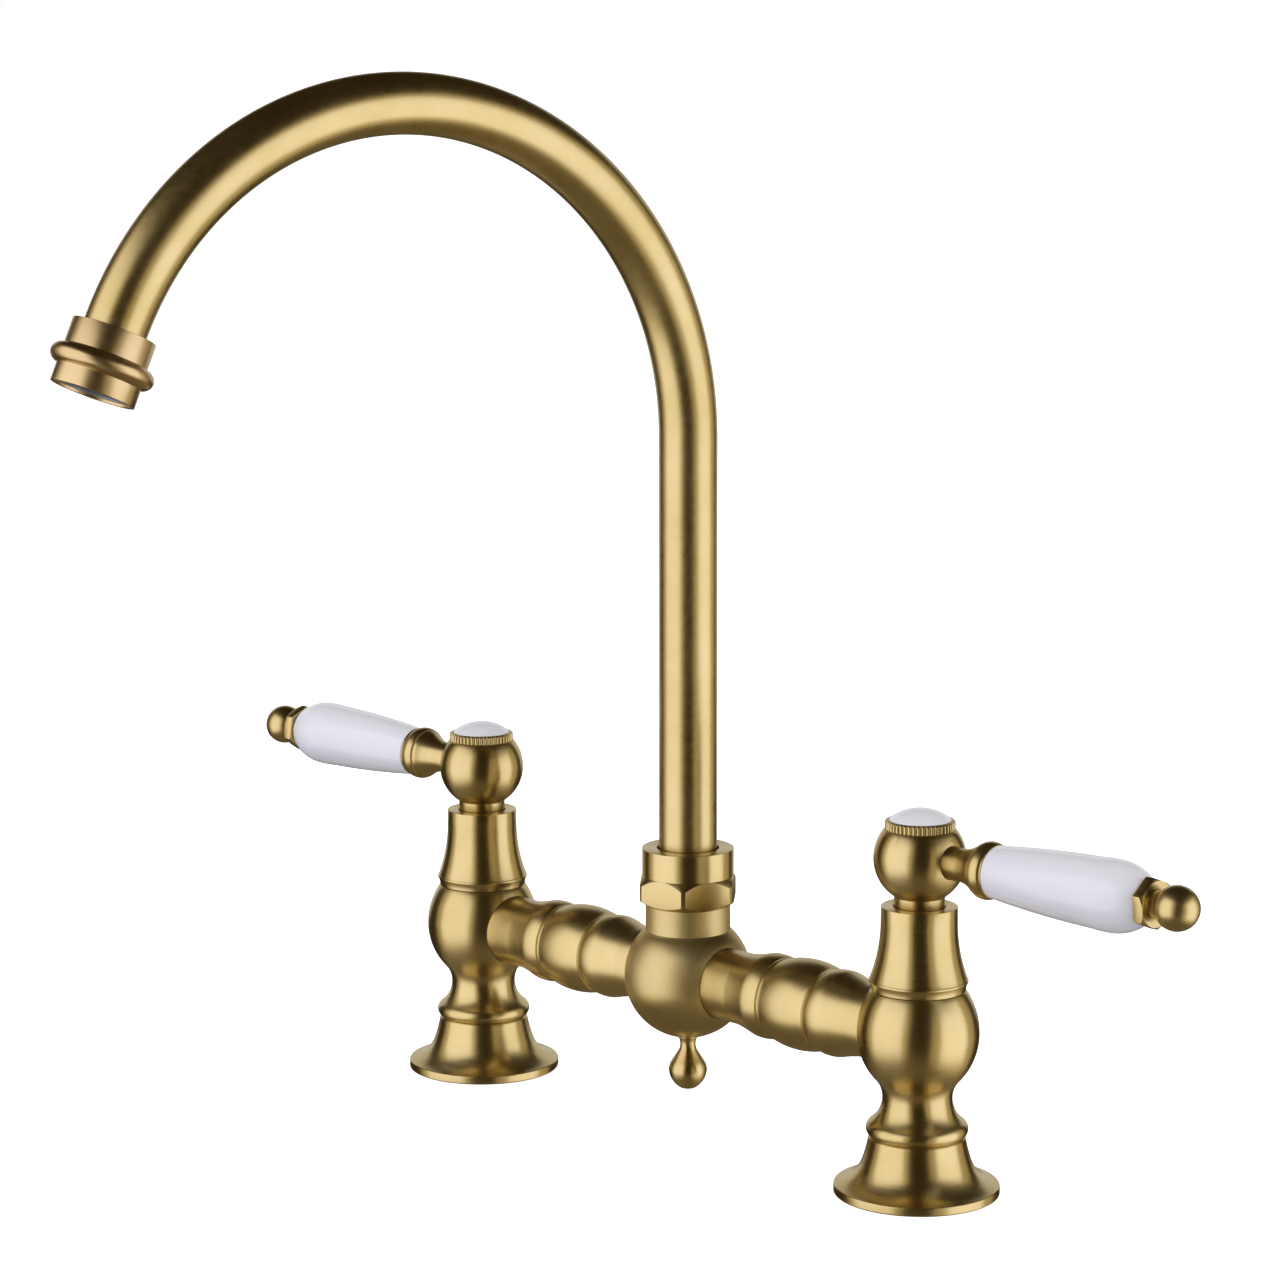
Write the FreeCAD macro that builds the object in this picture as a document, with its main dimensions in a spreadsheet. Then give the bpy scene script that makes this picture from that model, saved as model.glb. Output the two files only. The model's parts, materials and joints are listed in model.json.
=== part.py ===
import FreeCAD, Part
import math
import os
import re
import Sketcher

# Bridge kitchen faucet: two deck columns, a bridge with a centre hub, a swivelling arched
# spout and two quarter-turn levers. Millimetres. The origin lies on the deck, midway
# between the columns; +X runs along the bridge to the right column, -Y points to the
# sink, +Z is up.

doc = FreeCAD.newDocument("BridgeFaucet")
sheet = doc.addObject("Spreadsheet::Sheet", "Sizes")
sub_parts = []

# Driving dimensions: lengths in millimetres, angles in degrees, and one count.
SIZES = {
    # clearances shared by all mating pieces
    "seat_gap": 0.05,
    "running_gap": 0.1,
    "edge_break": 0.4,
    # base flanges
    "inlet_spacing": 203.2,
    "flange_diameter": 52.1,
    "flange_rim": 2.0,
    "flange_crown": 2.4,
    "flange_crown_depth": 1.2,
    "flange_round": 2.7,
    "cone_foot_diameter": 38.6,
    "cone_foot_height": 7.6,
    "bell_foot_diameter": 34.4,
    "bell_foot_height": 10.3,
    "bell_foot_round": 4.4,
    "bell_side_round": 45.0,
    "bell_top_diameter": 30.3,
    "bell_height": 18.5,
    "gasket_width": 4.0,
    "gasket_outer_diameter": 42.0,
    "gasket_height": 2.0,
    # column bodies
    "tail_diameter": 26.0,
    "inlet_thread_bore": 19.0,
    "inlet_thread_depth": 16.0,
    "inlet_waterway": 12.0,
    "bead_foot_diameter": 29.6,
    "bead_height": 4.4,
    "bead_round": 2.75,
    "bead_neck_diameter": 30.2,
    "waist_diameter": 21.94,
    "waist_rise": 12.3,
    "waist_lower_round": 9.5,
    "waist_upper_round": 8.6,
    "bridge_height": 51.4,
    "bulb_start_drop": 14.9,
    "bulb_start_diameter": 26.3,
    "bulb_diameter": 38.28,
    "bulb_lower_round": 21.5,
    "bulb_upper_round": 24.9,
    "shoulder_rise": 14.1,
    "shoulder_diameter": 29.6,
    "valve_bore": 18.6,
    "valve_depth": 21.5,
    # bonnets over the valves
    "bonnet_height": 26.35,
    "bonnet_hem_rise": 2.6,
    "bonnet_hem_diameter": 31.0,
    "bonnet_lip_rise": 3.4,
    "bonnet_lip_diameter": 30.6,
    "bonnet_flare_top": 21.5,
    "bonnet_flare_round": 50.7,
    "bonnet_top_diameter": 23.92,
    "bonnet_wall": 1.7,
    "bonnet_top_wall": 3.0,
    "bonnet_bore_gap": 0.3,
    # quarter-turn valve cartridges
    "cartridge_flange_height": 3.2,
    "cartridge_gland_diameter": 12.6,
    "cartridge_gland_height": 15.0,
    "cartridge_chamber": 14.0,
    "cartridge_chamber_top": 5.0,
    "cartridge_window": 8.4,
    "spindle_diameter": 8.0,
    "spindle_disc_height": 2.6,
    # bridge arms
    "arm_diameter": 23.5,
    "arm_socket_depth": 5.6,
    "arm_waterway": 9.0,
    "arm_flare_end": 26.4,
    "arm_flare_round": 60.0,
    "arm_shoulder_offset": 17.2,
    "arm_shoulder_diameter": 27.3,
    "arm_shoulder_round": 8.0,
    "arm_bead_offset": 15.1,
    "arm_bead_diameter": 27.9,
    "arm_bead_round": 14.4,
    "arm_bead_end": 10.3,
    "arm_groove_offset": 9.8,
    "arm_groove_diameter": 25.6,
    "arm_barrel_diameter": 29.6,
    "arm_barrel_end_diameter": 26.5,
    "arm_barrel_end": 9.4,
    "arm_barrel_round": 28.8,
    # centre hub
    "hub_diameter": 42.0,
    "hub_neck_diameter": 28.0,
    "hub_neck_top": 24.2,
    "hub_spigot_diameter": 25.0,
    "hub_spigot_height": 12.0,
    "hub_socket": 22.0,
    "hub_socket_floor": 9.5,
    "hub_chamber": 15.0,
    "hub_chamber_floor": 6.5,
    # drip finial
    "drip_length": 17.5,
    "drip_foot_diameter": 5.2,
    "drip_lower_round": 7.8,
    "drip_diameter": 12.7,
    "drip_widest_drop": 11.4,
    "drip_upper_round": 6.5,
    "drip_shoulder_diameter": 10.0,
    "drip_shoulder_drop": 7.7,
    "drip_neck_diameter": 5.9,
    "drip_neck_drop": 4.5,
    "drip_flare_round": 4.7,
    "drip_seat_diameter": 6.6,
    "drip_seat_depth": 0.8,
    "drip_spigot_diameter": 4.4,
    "drip_spigot_length": 6.0,
    # swivel nut
    "nut_height": 18.7,
    "nut_foot_diameter": 28.4,
    "nut_foot_chamfer": 1.95,
    "nut_across_corners": 35.0,
    "nut_across_flats": 30.3,
    "nut_hexagon_height": 9.7,
    "nut_top_chamfer": 2.7,
    "nut_collar_diameter": 30.2,
    "nut_top_wall": 4.3,
    "nut_tube_gap": 0.8,
    "nut_turn": 9.8,
    # spout
    "tube_diameter": 19.0,
    "tube_wall": 1.0,
    "tube_seat": 16.0,
    "arch_start": 229.8,
    "arch_radius": 108.4,
    "arch_turn": 110.0,
    "arch_tail_radius": 105.9,
    "arch_sweep": 156.5,
    "spout_swing": 8.4,
    "bush_flange_height": 1.8,
    "bush_waterway": 15.0,
    "seal_section": 1.3,
    "seal_offset": 3.5,
    "seal_pitch": 5.0,
    # outlet
    "sleeve_diameter": 25.3,
    "sleeve_length": 7.8,
    "outlet_bead_diameter": 31.4,
    "outlet_bead_height": 6.2,
    "outlet_bead_round": 3.2,
    "lip_diameter": 25.6,
    "lip_length": 5.6,
    "tube_insertion": 8.0,
    "outlet_throat": 16.6,
    "aerator_bore": 22.6,
    "aerator_shoulder": 9.4,
    "aerator_washer_height": 1.4,
    "aerator_washer_bore": 17.0,
    "aerator_recess": 0.8,
    "aerator_wall": 1.4,
    "aerator_lip": 0.9,
    "aerator_lip_height": 1.0,
    "aerator_plate": 1.2,
    "aerator_fin": 0.9,
    "aerator_fin_pitch": 2.3,
    "aerator_fin_depth": 3.4,
    "aerator_rib": 1.1,
    # handle hubs
    "handle_rise": 15.3,
    "handle_ball_diameter": 28.9,
    "handle_flat_rise": 9.0,
    "handle_neck_diameter": 15.8,
    "handle_neck_depth": 2.2,
    "cap_bore": 16.9,
    "cap_bore_depth": 4.2,
    "screw_bore": 8.2,
    "screw_floor": 1.2,
    "screw_web": 2.0,
    "screw_diameter": 4.0,
    "screw_head_diameter": 7.0,
    "screw_head_height": 3.4,
    "screw_length": 8.0,
    "screw_socket": 3.0,
    "screw_socket_depth": 1.9,
    # index caps
    "cap_diameter": 21.9,
    "cap_rim_height": 2.1,
    "cap_groove_height": 0.25,
    "cap_groove_depth": 0.5,
    "cap_crown_setback": 0.2,
    "cap_crown_height": 3.6,
    "cap_opening": 10.0,
    "disc_diameter": 16.2,
    "disc_floor": 1.6,
    "disc_edge_rise": 3.3,
    "disc_crown": 5.85,
    "flute_count": 46,
    "flute_width": 0.7,
    "flute_depth": 0.4,
    # levers
    "lever_lead_left": 3.1,
    "lever_lead_right": 1.4,
    "lever_rise": 0.8,
    "lever_lift": 0.3,
    "stem_start": 12.4,
    "stem_diameter": 10.4,
    "stem_spigot_diameter": 5.9,
    "stem_spigot_length": 5.6,
    "stem_length": 6.4,
    "ferrule_flare_length": 7.6,
    "ferrule_flare_diameter": 16.4,
    "ferrule_flare_round": 18.0,
    "ferrule_bead_length": 4.7,
    "ferrule_bead_root_diameter": 16.8,
    "ferrule_bead_round": 4.2,
    "ferrule_groove": 0.35,
    "ferrule_rim_length": 1.1,
    "ferrule_rim_diameter": 16.6,
    "grip_socket_depth": 1.0,
    "grip_spigot_diameter": 14.4,
    "grip_length": 58.5,
    "grip_root_diameter": 16.5,
    "grip_side_diameter": 21.6,
    "grip_side_length": 39.5,
    "grip_side_round": 420.0,
    "grip_widest_diameter": 22.0,
    "grip_widest_length": 46.2,
    "grip_crest_round": 65.0,
    "grip_end_round": 17.7,
    "grip_shoulder_diameter": 16.4,
    "grip_shoulder_length": 55.75,
    "grip_end_diameter": 11.6,
    "grip_bore": 5.8,
    "rod_diameter": 5.0,
    "rod_engagement": 6.4,
    "lever_nut_length": 3.6,
    "lever_nut_corners": 16.0,
    "lever_nut_flats": 13.9,
    "lever_nut_chamfer": 0.9,
    "lever_nut_turn": 7.5,
    "finial_diameter": 13.7,
    "finial_neck_diameter": 9.0,
    "finial_neck_length": 2.0,
}
for row, (name, number) in enumerate(SIZES.items(), 1):
    sheet.set("A%d" % row, name)
    sheet.set("B%d" % row, str(number))
    sheet.setAlias("B%d" % row, name)
doc.recompute()


def bound(text):
    """Turn size names in an expression into references to the sheet."""
    return re.sub(r"\b[a-z]\w+(?!\w*\()", r"Sizes.\g<0>", text)


def value(text):
    """Present value of an expression written with size names."""
    found = sheet.evalExpression(bound(text))
    return float(getattr(found, "Value", found))


def plane(body, role):
    """Origin plane of a body, found by its role."""
    return [item for item in body.Origin.OriginFeatures if item.Role == role][0]


def new_sketch(body, name, role, lift=None, turn=None, tilt=None):
    """Sketch on an origin plane of its own body, lifted along, turned about or tilted off it."""
    sketch = body.newObject("Sketcher::SketchObject", name)
    sketch.AttachmentSupport = (plane(body, role), "")
    sketch.MapMode = "FlatFace"
    if lift:
        sketch.setExpression("AttachmentOffset.Base.z", bound(lift))
    for angle, axis in ((turn, FreeCAD.Vector(0, 0, 1)), (tilt, FreeCAD.Vector(1, 0, 0))):
        if angle:
            spin = FreeCAD.Rotation(axis, value(angle))
            sketch.AttachmentOffset = FreeCAD.Placement(FreeCAD.Vector(0, 0, 0), spin)
            sketch.setExpression("AttachmentOffset.Rotation.Angle", bound(angle))
    return sketch


def bind(sketch, kind, elements, text):
    """Add one dimension to a sketch and tie it to an expression."""
    index = sketch.addConstraint(Sketcher.Constraint(kind, *elements, value(text)))
    sketch.setExpression("Constraints[%d]" % index, bound(text))


def pin_point(sketch, geometry, end, across, up):
    """Hold a point at given distances from the sketch's origin."""
    for kind, axis, text in (("DistanceX", -2, across), ("DistanceY", -1, up)):
        if abs(value(text)) < 1e-9:
            sketch.addConstraint(Sketcher.Constraint("PointOnObject", geometry, end, axis))
        else:
            bind(sketch, kind, (-1, 1, geometry, end), text)


def arc_between(start, end, radius, side):
    """Short arc between two points; side +1 bulges to the right of the way there.

    The arc is always laid anticlockwise, so that its point numbers are sure.
    """
    chord = end - start
    half = chord.Length / 2
    across = FreeCAD.Vector(chord.y, -chord.x, 0).normalize()
    reach = math.sqrt(max(radius * radius - half * half, 0))
    centre = start + chord * 0.5 - across * (side * reach)
    middle = centre + across * (side * radius)
    if side < 0:
        return Part.Arc(end, middle, start)
    return Part.Arc(start, middle, end)


def outline(sketch, corners):
    """Closed outline through corners (radius, height, radius of the arc to it, side)."""
    spots = []
    for corner in corners:
        spots.append((corner[:2], FreeCAD.Vector(value(corner[0]), value(corner[1]), 0)))
    count = len(corners)
    for index in range(count):
        start = spots[index][1]
        end = spots[(index + 1) % count][1]
        bend = corners[(index + 1) % count][2:]
        if bend:
            sketch.addGeometry(arc_between(start, end, value(bend[0]), bend[1]))
        else:
            sketch.addGeometry(Part.LineSegment(start, end))
    ends = [way_ends(sketch.Geometry[index], spots[index][1]) for index in range(count)]
    for index in range(count):
        after = (index + 1) % count
        joint = (index, ends[index][1], after, ends[after][0])
        sketch.addConstraint(Sketcher.Constraint("Coincident", *joint))
        pin_point(sketch, index, ends[index][0], *spots[index][0])
        bend = corners[after][2:]
        if bend:
            bind(sketch, "Radius", (index,), bend[0])


def way_ends(shape, start):
    """Numbers of the first and last point of a curve, as it is walked from start."""
    forward = (shape.StartPoint - start).Length < (shape.EndPoint - start).Length
    return (1, 2) if forward else (2, 1)


def turned(label, corners):
    """A lathe-turned piece: one half section revolved about its Z axis."""
    body = doc.addObject("PartDesign::Body", label)
    body.Label = label
    sketch = new_sketch(body, label + "_section", "XZ_Plane")
    outline(sketch, corners)
    turn = body.newObject("PartDesign::Revolution", label + "_turning")
    turn.Profile = sketch
    turn.ReferenceAxis = (sketch, ["V_Axis"])
    turn.Angle = 360
    sub_parts.append(body)
    return body


def place(body, across="0", along="0", up="0", yaw="0", pitch="0"):
    """Stand a piece at its place, pitched about Y and then turned about Z."""
    point = "vector(%s; %s; %s)" % (bound(across), bound(along), bound(up))
    angles = "rotation(%s; %s; 0)" % (bound(yaw), bound(pitch))
    body.setExpression("Placement", "placement(%s; %s)" % (point, angles))


def cut(body, name, sketch, length, upward=True, through=False, both=False):
    """Pocket a sketch into a body, along or against the sketch's normal."""
    doc.recompute()
    before = body.Shape.Volume
    pocket = body.newObject("PartDesign::Pocket", name)
    pocket.Profile = sketch
    pocket.Type = 1 if through else 0
    pocket.Midplane = both
    pocket.Reversed = upward
    if not through:
        pocket.setExpression("Length", bound(length))
    doc.recompute()
    if not body.Shape.Volume < before - 1e-6:
        raise RuntimeError(name + " cuts nothing")
    return pocket


def circle(sketch, diameter, across="0", up="0"):
    """Circle in a sketch with its diameter and centre bound."""
    centre = FreeCAD.Vector(value(across), value(up), 0)
    normal = FreeCAD.Vector(0, 0, 1)
    index = sketch.addGeometry(Part.Circle(centre, normal, value(diameter) / 2))
    pin_point(sketch, index, 3, across, up)
    bind(sketch, "Diameter", (index,), diameter)
    return index


def drill(body, name, role, diameter, length, lift=None, upward=True, both=False):
    """Round hole square to an origin plane, started at a lift from it."""
    sketch = new_sketch(body, name + "_sketch", role, lift)
    circle(sketch, diameter)
    return cut(body, name, sketch, length, upward, both=both)


def hexagon(sketch, across_flats):
    """Hexagon about the sketch's origin, one corner on its X axis."""
    radius = value(across_flats) / math.sqrt(3)
    corners = []
    for step in range(6):
        angle = math.radians(60 * step)
        corners.append(FreeCAD.Vector(radius * math.cos(angle), radius * math.sin(angle), 0))
    first = sketch.GeometryCount
    for step in range(6):
        sketch.addGeometry(Part.LineSegment(corners[step], corners[(step + 1) % 6]))
    reach = across_flats + " / sqrt(3)"
    for step in range(6):
        joint = (first + step, 2, first + (step + 1) % 6, 1)
        sketch.addConstraint(Sketcher.Constraint("Coincident", *joint))
        angle = "%d" % (60 * step)
        place_across = "%s * cos(%s)" % (reach, angle)
        place_up = "%s * sin(%s)" % (reach, angle)
        pin_point(sketch, first + step, 1, place_across, place_up)


def mill_hexagon(body, name, role, flats, stock, length, turn, lift=None):
    """Cut six flats into turned stock: all between a hexagon and a clear circle goes."""
    sketch = new_sketch(body, name + "_sketch", role, lift, turn)
    circle(sketch, stock + " + 4")
    hexagon(sketch, flats)
    return cut(body, name, sketch, length)


# Heights shared by the pieces of one column, up from the deck.
body_top = "(bridge_height + shoulder_rise)"
bonnet_foot = "(bridge_height + shoulder_rise + seat_gap)"
bonnet_top = "(bridge_height + shoulder_rise + seat_gap + bonnet_height)"
bonnet_ceiling = "(bridge_height + shoulder_rise + seat_gap + bonnet_height - bonnet_top_wall)"
bonnet_bore = "(bonnet_top_diameter / 2 - bonnet_wall)"
valve_floor = "(bridge_height + shoulder_rise - valve_depth)"
handle_centre = "(bridge_height + shoulder_rise + seat_gap + bonnet_height + handle_rise)"
column_offset = {"left": "-inlet_spacing / 2", "right": "inlet_spacing / 2"}
bridge_turn = {"left": "0", "right": "180"}
lever_yaw = {"left": "180 + lever_lead_left", "right": "-lever_lead_right"}


def base_flange(side):
    """Bell-shaped flange that stands on the deck round the tail of the column."""
    flange = turned(side + "_base_flange", [
        ("tail_diameter / 2 + seat_gap", "0"),
        ("gasket_outer_diameter / 2 - gasket_width - seat_gap", "0"),
        ("gasket_outer_diameter / 2 - gasket_width - seat_gap", "gasket_height + seat_gap"),
        ("gasket_outer_diameter / 2 + seat_gap", "gasket_height + seat_gap"),
        ("gasket_outer_diameter / 2 + seat_gap", "0"),
        ("flange_diameter / 2 - edge_break", "0"),
        ("flange_diameter / 2", "edge_break"),
        ("flange_diameter / 2", "flange_rim"),
        ("flange_diameter / 2 - flange_crown_depth", "flange_rim + flange_crown",
         "flange_round", 1),
        ("cone_foot_diameter / 2", "cone_foot_height"),
        ("bell_foot_diameter / 2", "bell_foot_height", "bell_foot_round", -1),
        ("bell_top_diameter / 2", "bell_height - edge_break", "bell_side_round", -1),
        ("bell_top_diameter / 2 - edge_break", "bell_height"),
        ("tail_diameter / 2 + seat_gap", "bell_height"),
    ])
    place(flange, column_offset[side])


def base_gasket(side):
    """Flat rubber ring in the underside of the flange."""
    gasket = turned(side + "_base_gasket", [
        ("gasket_outer_diameter / 2 - gasket_width", "0"),
        ("gasket_outer_diameter / 2", "0"),
        ("gasket_outer_diameter / 2", "gasket_height"),
        ("gasket_outer_diameter / 2 - gasket_width", "gasket_height"),
    ])
    place(gasket, column_offset[side])


def column_body(side):
    """Tail, bead, waist and bulb with the inlet thread, the waterway and the valve seat."""
    body = turned(side + "_column_body", [
        ("inlet_thread_bore / 2", "0"),
        ("tail_diameter / 2", "0"),
        ("tail_diameter / 2", "bell_height + seat_gap"),
        ("bead_foot_diameter / 2", "bell_height + seat_gap"),
        ("bead_neck_diameter / 2", "bell_height + bead_height", "bead_round", 1),
        ("waist_diameter / 2", "bell_height + waist_rise", "waist_lower_round", -1),
        ("bulb_start_diameter / 2", "bridge_height - bulb_start_drop",
         "waist_upper_round", -1),
        ("bulb_diameter / 2", "bridge_height", "bulb_lower_round", 1),
        ("shoulder_diameter / 2", body_top, "bulb_upper_round", 1),
        ("valve_bore / 2", body_top),
        ("valve_bore / 2", valve_floor),
        ("inlet_waterway / 2", valve_floor),
        ("inlet_waterway / 2", "inlet_thread_depth + 2"),
        ("inlet_thread_bore / 2", "inlet_thread_depth"),
    ])
    across = new_sketch(body, side + "_arm_socket_sketch", "YZ_Plane",
                        "bulb_diameter / 2 - arm_socket_depth")
    circle(across, "arm_diameter + 2 * seat_gap", "0", "bridge_height")
    cut(body, side + "_arm_socket", across, "arm_socket_depth + 4")
    port = new_sketch(body, side + "_side_port_sketch", "YZ_Plane")
    circle(port, "arm_waterway", "0", "bridge_height")
    cut(body, side + "_side_port", port, "bulb_diameter")
    place(body, column_offset[side], yaw=bridge_turn[side])


def bonnet(side):
    """Flared skirt over the cartridge, with a bore for the handle neck."""
    skirt = turned(side + "_bonnet", [
        (bonnet_bore, bonnet_foot),
        ("shoulder_diameter / 2", bonnet_foot),
        ("bonnet_hem_diameter / 2", bonnet_foot + " + bonnet_hem_rise"),
        ("bonnet_lip_diameter / 2", bonnet_foot + " + bonnet_lip_rise"),
        ("bonnet_top_diameter / 2", bonnet_foot + " + bonnet_flare_top",
         "bonnet_flare_round", -1),
        ("bonnet_top_diameter / 2", bonnet_top + " - edge_break"),
        ("bonnet_top_diameter / 2 - edge_break", bonnet_top),
        ("handle_neck_diameter / 2 + bonnet_bore_gap", bonnet_top),
        ("handle_neck_diameter / 2 + bonnet_bore_gap", bonnet_ceiling),
        (bonnet_bore, bonnet_ceiling),
    ])
    place(skirt, column_offset[side])


def cartridge(side):
    """Valve cartridge: sleeve with a chamber and a window, flange and gland."""
    body = turned(side + "_cartridge", [
        ("cartridge_chamber / 2", valve_floor + " + seat_gap"),
        ("valve_bore / 2 - seat_gap", valve_floor + " + seat_gap"),
        ("valve_bore / 2 - seat_gap", body_top + " + seat_gap"),
        (bonnet_bore + " - seat_gap * 2", body_top + " + seat_gap"),
        (bonnet_bore + " - seat_gap * 2", body_top + " + cartridge_flange_height"),
        ("cartridge_gland_diameter / 2", body_top + " + cartridge_flange_height"),
        ("cartridge_gland_diameter / 2", body_top + " + cartridge_gland_height"),
        ("spindle_diameter / 2 + running_gap", body_top + " + cartridge_gland_height"),
        ("spindle_diameter / 2 + running_gap", body_top + " - cartridge_chamber_top"),
        ("cartridge_chamber / 2", body_top + " - cartridge_chamber_top"),
    ])
    window = new_sketch(body, side + "_window_sketch", "YZ_Plane")
    circle(window, "cartridge_window", "0", "bridge_height")
    cut(body, side + "_window", window, "valve_bore")
    place(body, column_offset[side], yaw=bridge_turn[side])


def spindle(side):
    """Turning stem of the cartridge, tapped for the handle screw."""
    disc_top = body_top + " - cartridge_chamber_top - running_gap"
    stem = turned(side + "_spindle", [
        ("0", disc_top + " - spindle_disc_height"),
        ("cartridge_chamber / 2 - running_gap", disc_top + " - spindle_disc_height"),
        ("cartridge_chamber / 2 - running_gap", disc_top),
        ("spindle_diameter / 2", disc_top),
        ("spindle_diameter / 2", handle_centre + " + screw_floor - screw_web - seat_gap"),
        ("screw_diameter / 2 + seat_gap",
         handle_centre + " + screw_floor - screw_web - seat_gap"),
        ("screw_diameter / 2 + seat_gap", handle_centre + " + screw_floor - screw_length - 1"),
        ("0", handle_centre + " + screw_floor - screw_length - 1"),
    ])
    place(stem, column_offset[side])


def arm(side):
    """Turned bridge arm between the hub and a column, bored through."""
    half = ("((inlet_spacing - bulb_diameter - hub_diameter) / 4"
            " + arm_socket_depth - seat_gap)")
    near = [
        ("arm_waterway / 2", "-" + half),
        ("arm_diameter / 2 - edge_break", "-" + half),
        ("arm_diameter / 2", "edge_break - " + half),
        ("arm_diameter / 2", "-arm_flare_end"),
        ("arm_shoulder_diameter / 2", "-arm_shoulder_offset", "arm_flare_round", -1),
        ("arm_bead_diameter / 2", "-arm_bead_offset", "arm_shoulder_round", 1),
        ("arm_barrel_end_diameter / 2", "-arm_bead_end", "arm_bead_round", 1),
        ("arm_groove_diameter / 2", "-arm_groove_offset"),
        ("arm_barrel_end_diameter / 2", "-arm_barrel_end"),
        ("arm_barrel_diameter / 2", "0", "arm_barrel_round", 1),
    ]
    far = [
        ("arm_barrel_end_diameter / 2", "arm_barrel_end", "arm_barrel_round", 1),
        ("arm_groove_diameter / 2", "arm_groove_offset"),
        ("arm_barrel_end_diameter / 2", "arm_bead_end"),
        ("arm_bead_diameter / 2", "arm_bead_offset", "arm_bead_round", 1),
        ("arm_shoulder_diameter / 2", "arm_shoulder_offset", "arm_shoulder_round", 1),
        ("arm_diameter / 2", "arm_flare_end", "arm_flare_round", -1),
        ("arm_diameter / 2", half + " - edge_break"),
        ("arm_diameter / 2 - edge_break", half),
        ("arm_waterway / 2", half),
    ]
    body = turned(side + "_arm", near + far)
    middle = "(inlet_spacing - bulb_diameter + hub_diameter) / 4"
    sign = "-" if side == "left" else ""
    place(body, sign + middle, up="bridge_height", pitch="90")


def centre_hub():
    """Ball with arm sockets, chamber, drip seat and the spigot that carries the spout."""
    neck_seat = "sqrt(pow(hub_diameter / 2; 2) - pow(hub_neck_diameter / 2; 2))"
    foot = "sqrt(pow(hub_diameter / 2; 2) - pow(drip_seat_diameter / 2; 2))"
    hub = turned("centre_hub", [
        ("0", "drip_seat_depth - hub_diameter / 2"),
        ("drip_seat_diameter / 2", "drip_seat_depth - hub_diameter / 2"),
        ("drip_seat_diameter / 2", "-" + foot),
        ("hub_diameter / 2", "0", "hub_diameter / 2", 1),
        ("hub_neck_diameter / 2", neck_seat, "hub_diameter / 2", 1),
        ("hub_neck_diameter / 2", "hub_neck_top"),
        ("hub_spigot_diameter / 2", "hub_neck_top"),
        ("hub_spigot_diameter / 2", "hub_neck_top + hub_spigot_height"),
        ("hub_socket / 2", "hub_neck_top + hub_spigot_height"),
        ("hub_socket / 2", "hub_socket_floor"),
        ("hub_chamber / 2", "hub_socket_floor"),
        ("hub_chamber / 2", "-hub_chamber_floor"),
        ("0", "-hub_chamber_floor"),
    ])
    drill(hub, "bridge_port", "YZ_Plane", "arm_waterway", "hub_diameter + 2", both=True)
    for name, upward in (("arm_socket_right", True), ("arm_socket_left", False)):
        sign = "" if upward else "-"
        lift = sign + "(hub_diameter / 2 - arm_socket_depth)"
        drill(hub, name, "YZ_Plane", "arm_diameter + 2 * seat_gap", "arm_socket_depth + 1",
              lift, upward)
    drill(hub, "drip_tapping", "XY_Plane", "drip_spigot_diameter + 2 * seat_gap",
          "drip_spigot_length + drip_seat_depth + 1", "-hub_diameter / 2 - 1")
    place(hub, up="bridge_height")


def drip_finial():
    """Turned drop under the hub, held by its spigot."""
    seat = "(drip_seat_depth - seat_gap)"
    drip = turned("drip_finial", [
        ("0", "-drip_length"),
        ("drip_foot_diameter / 2", "-drip_length"),
        ("drip_diameter / 2", "-drip_widest_drop", "drip_lower_round", 1),
        ("drip_shoulder_diameter / 2", "-drip_shoulder_drop", "drip_upper_round", 1),
        ("drip_neck_diameter / 2", "-drip_neck_drop"),
        ("drip_seat_diameter / 2 - seat_gap", "-seat_gap * 4", "drip_flare_round", -1),
        ("drip_seat_diameter / 2 - seat_gap", seat),
        ("drip_spigot_diameter / 2", seat),
        ("drip_spigot_diameter / 2", seat + " + drip_spigot_length"),
        ("0", seat + " + drip_spigot_length"),
    ])
    place(drip, up="bridge_height - hub_diameter / 2")


def swivel_nut():
    """Hexagon nut with a round collar that clamps the spout bush on the hub."""
    nut = turned("swivel_nut", [
        ("hub_spigot_diameter / 2 + seat_gap", "0"),
        ("nut_foot_diameter / 2", "0"),
        ("nut_across_corners / 2", "nut_foot_chamfer"),
        ("nut_across_corners / 2", "nut_hexagon_height - nut_top_chamfer"),
        ("nut_collar_diameter / 2", "nut_hexagon_height"),
        ("nut_collar_diameter / 2", "nut_height - edge_break"),
        ("nut_collar_diameter / 2 - edge_break", "nut_height"),
        ("tube_diameter / 2 + nut_tube_gap", "nut_height"),
        ("tube_diameter / 2 + nut_tube_gap", "nut_height - nut_top_wall"),
        ("hub_spigot_diameter / 2 + seat_gap", "nut_height - nut_top_wall"),
    ])
    mill_hexagon(nut, "nut_flats", "XY_Plane", "nut_across_flats", "nut_across_corners",
                 "nut_hexagon_height + 2", "nut_turn", "-1")
    place(nut, up="bridge_height + hub_neck_top + seat_gap")


# The spout pieces stand on the hub: heights up from the deck.
bush_foot = "(bridge_height + hub_socket_floor + seat_gap)"
spigot_top = "(bridge_height + hub_neck_top + hub_spigot_height)"
bush_top = "(bridge_height + hub_neck_top + hub_spigot_height + running_gap + bush_flange_height)"
tube_foot = "(" + bush_top + " - tube_seat)"
bush_radius = "(hub_socket / 2 - running_gap)"
seal_groove = "(hub_socket / 2 - 2 * seat_gap - seal_section - seat_gap)"
spout_yaw = "-90 - spout_swing"


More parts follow.
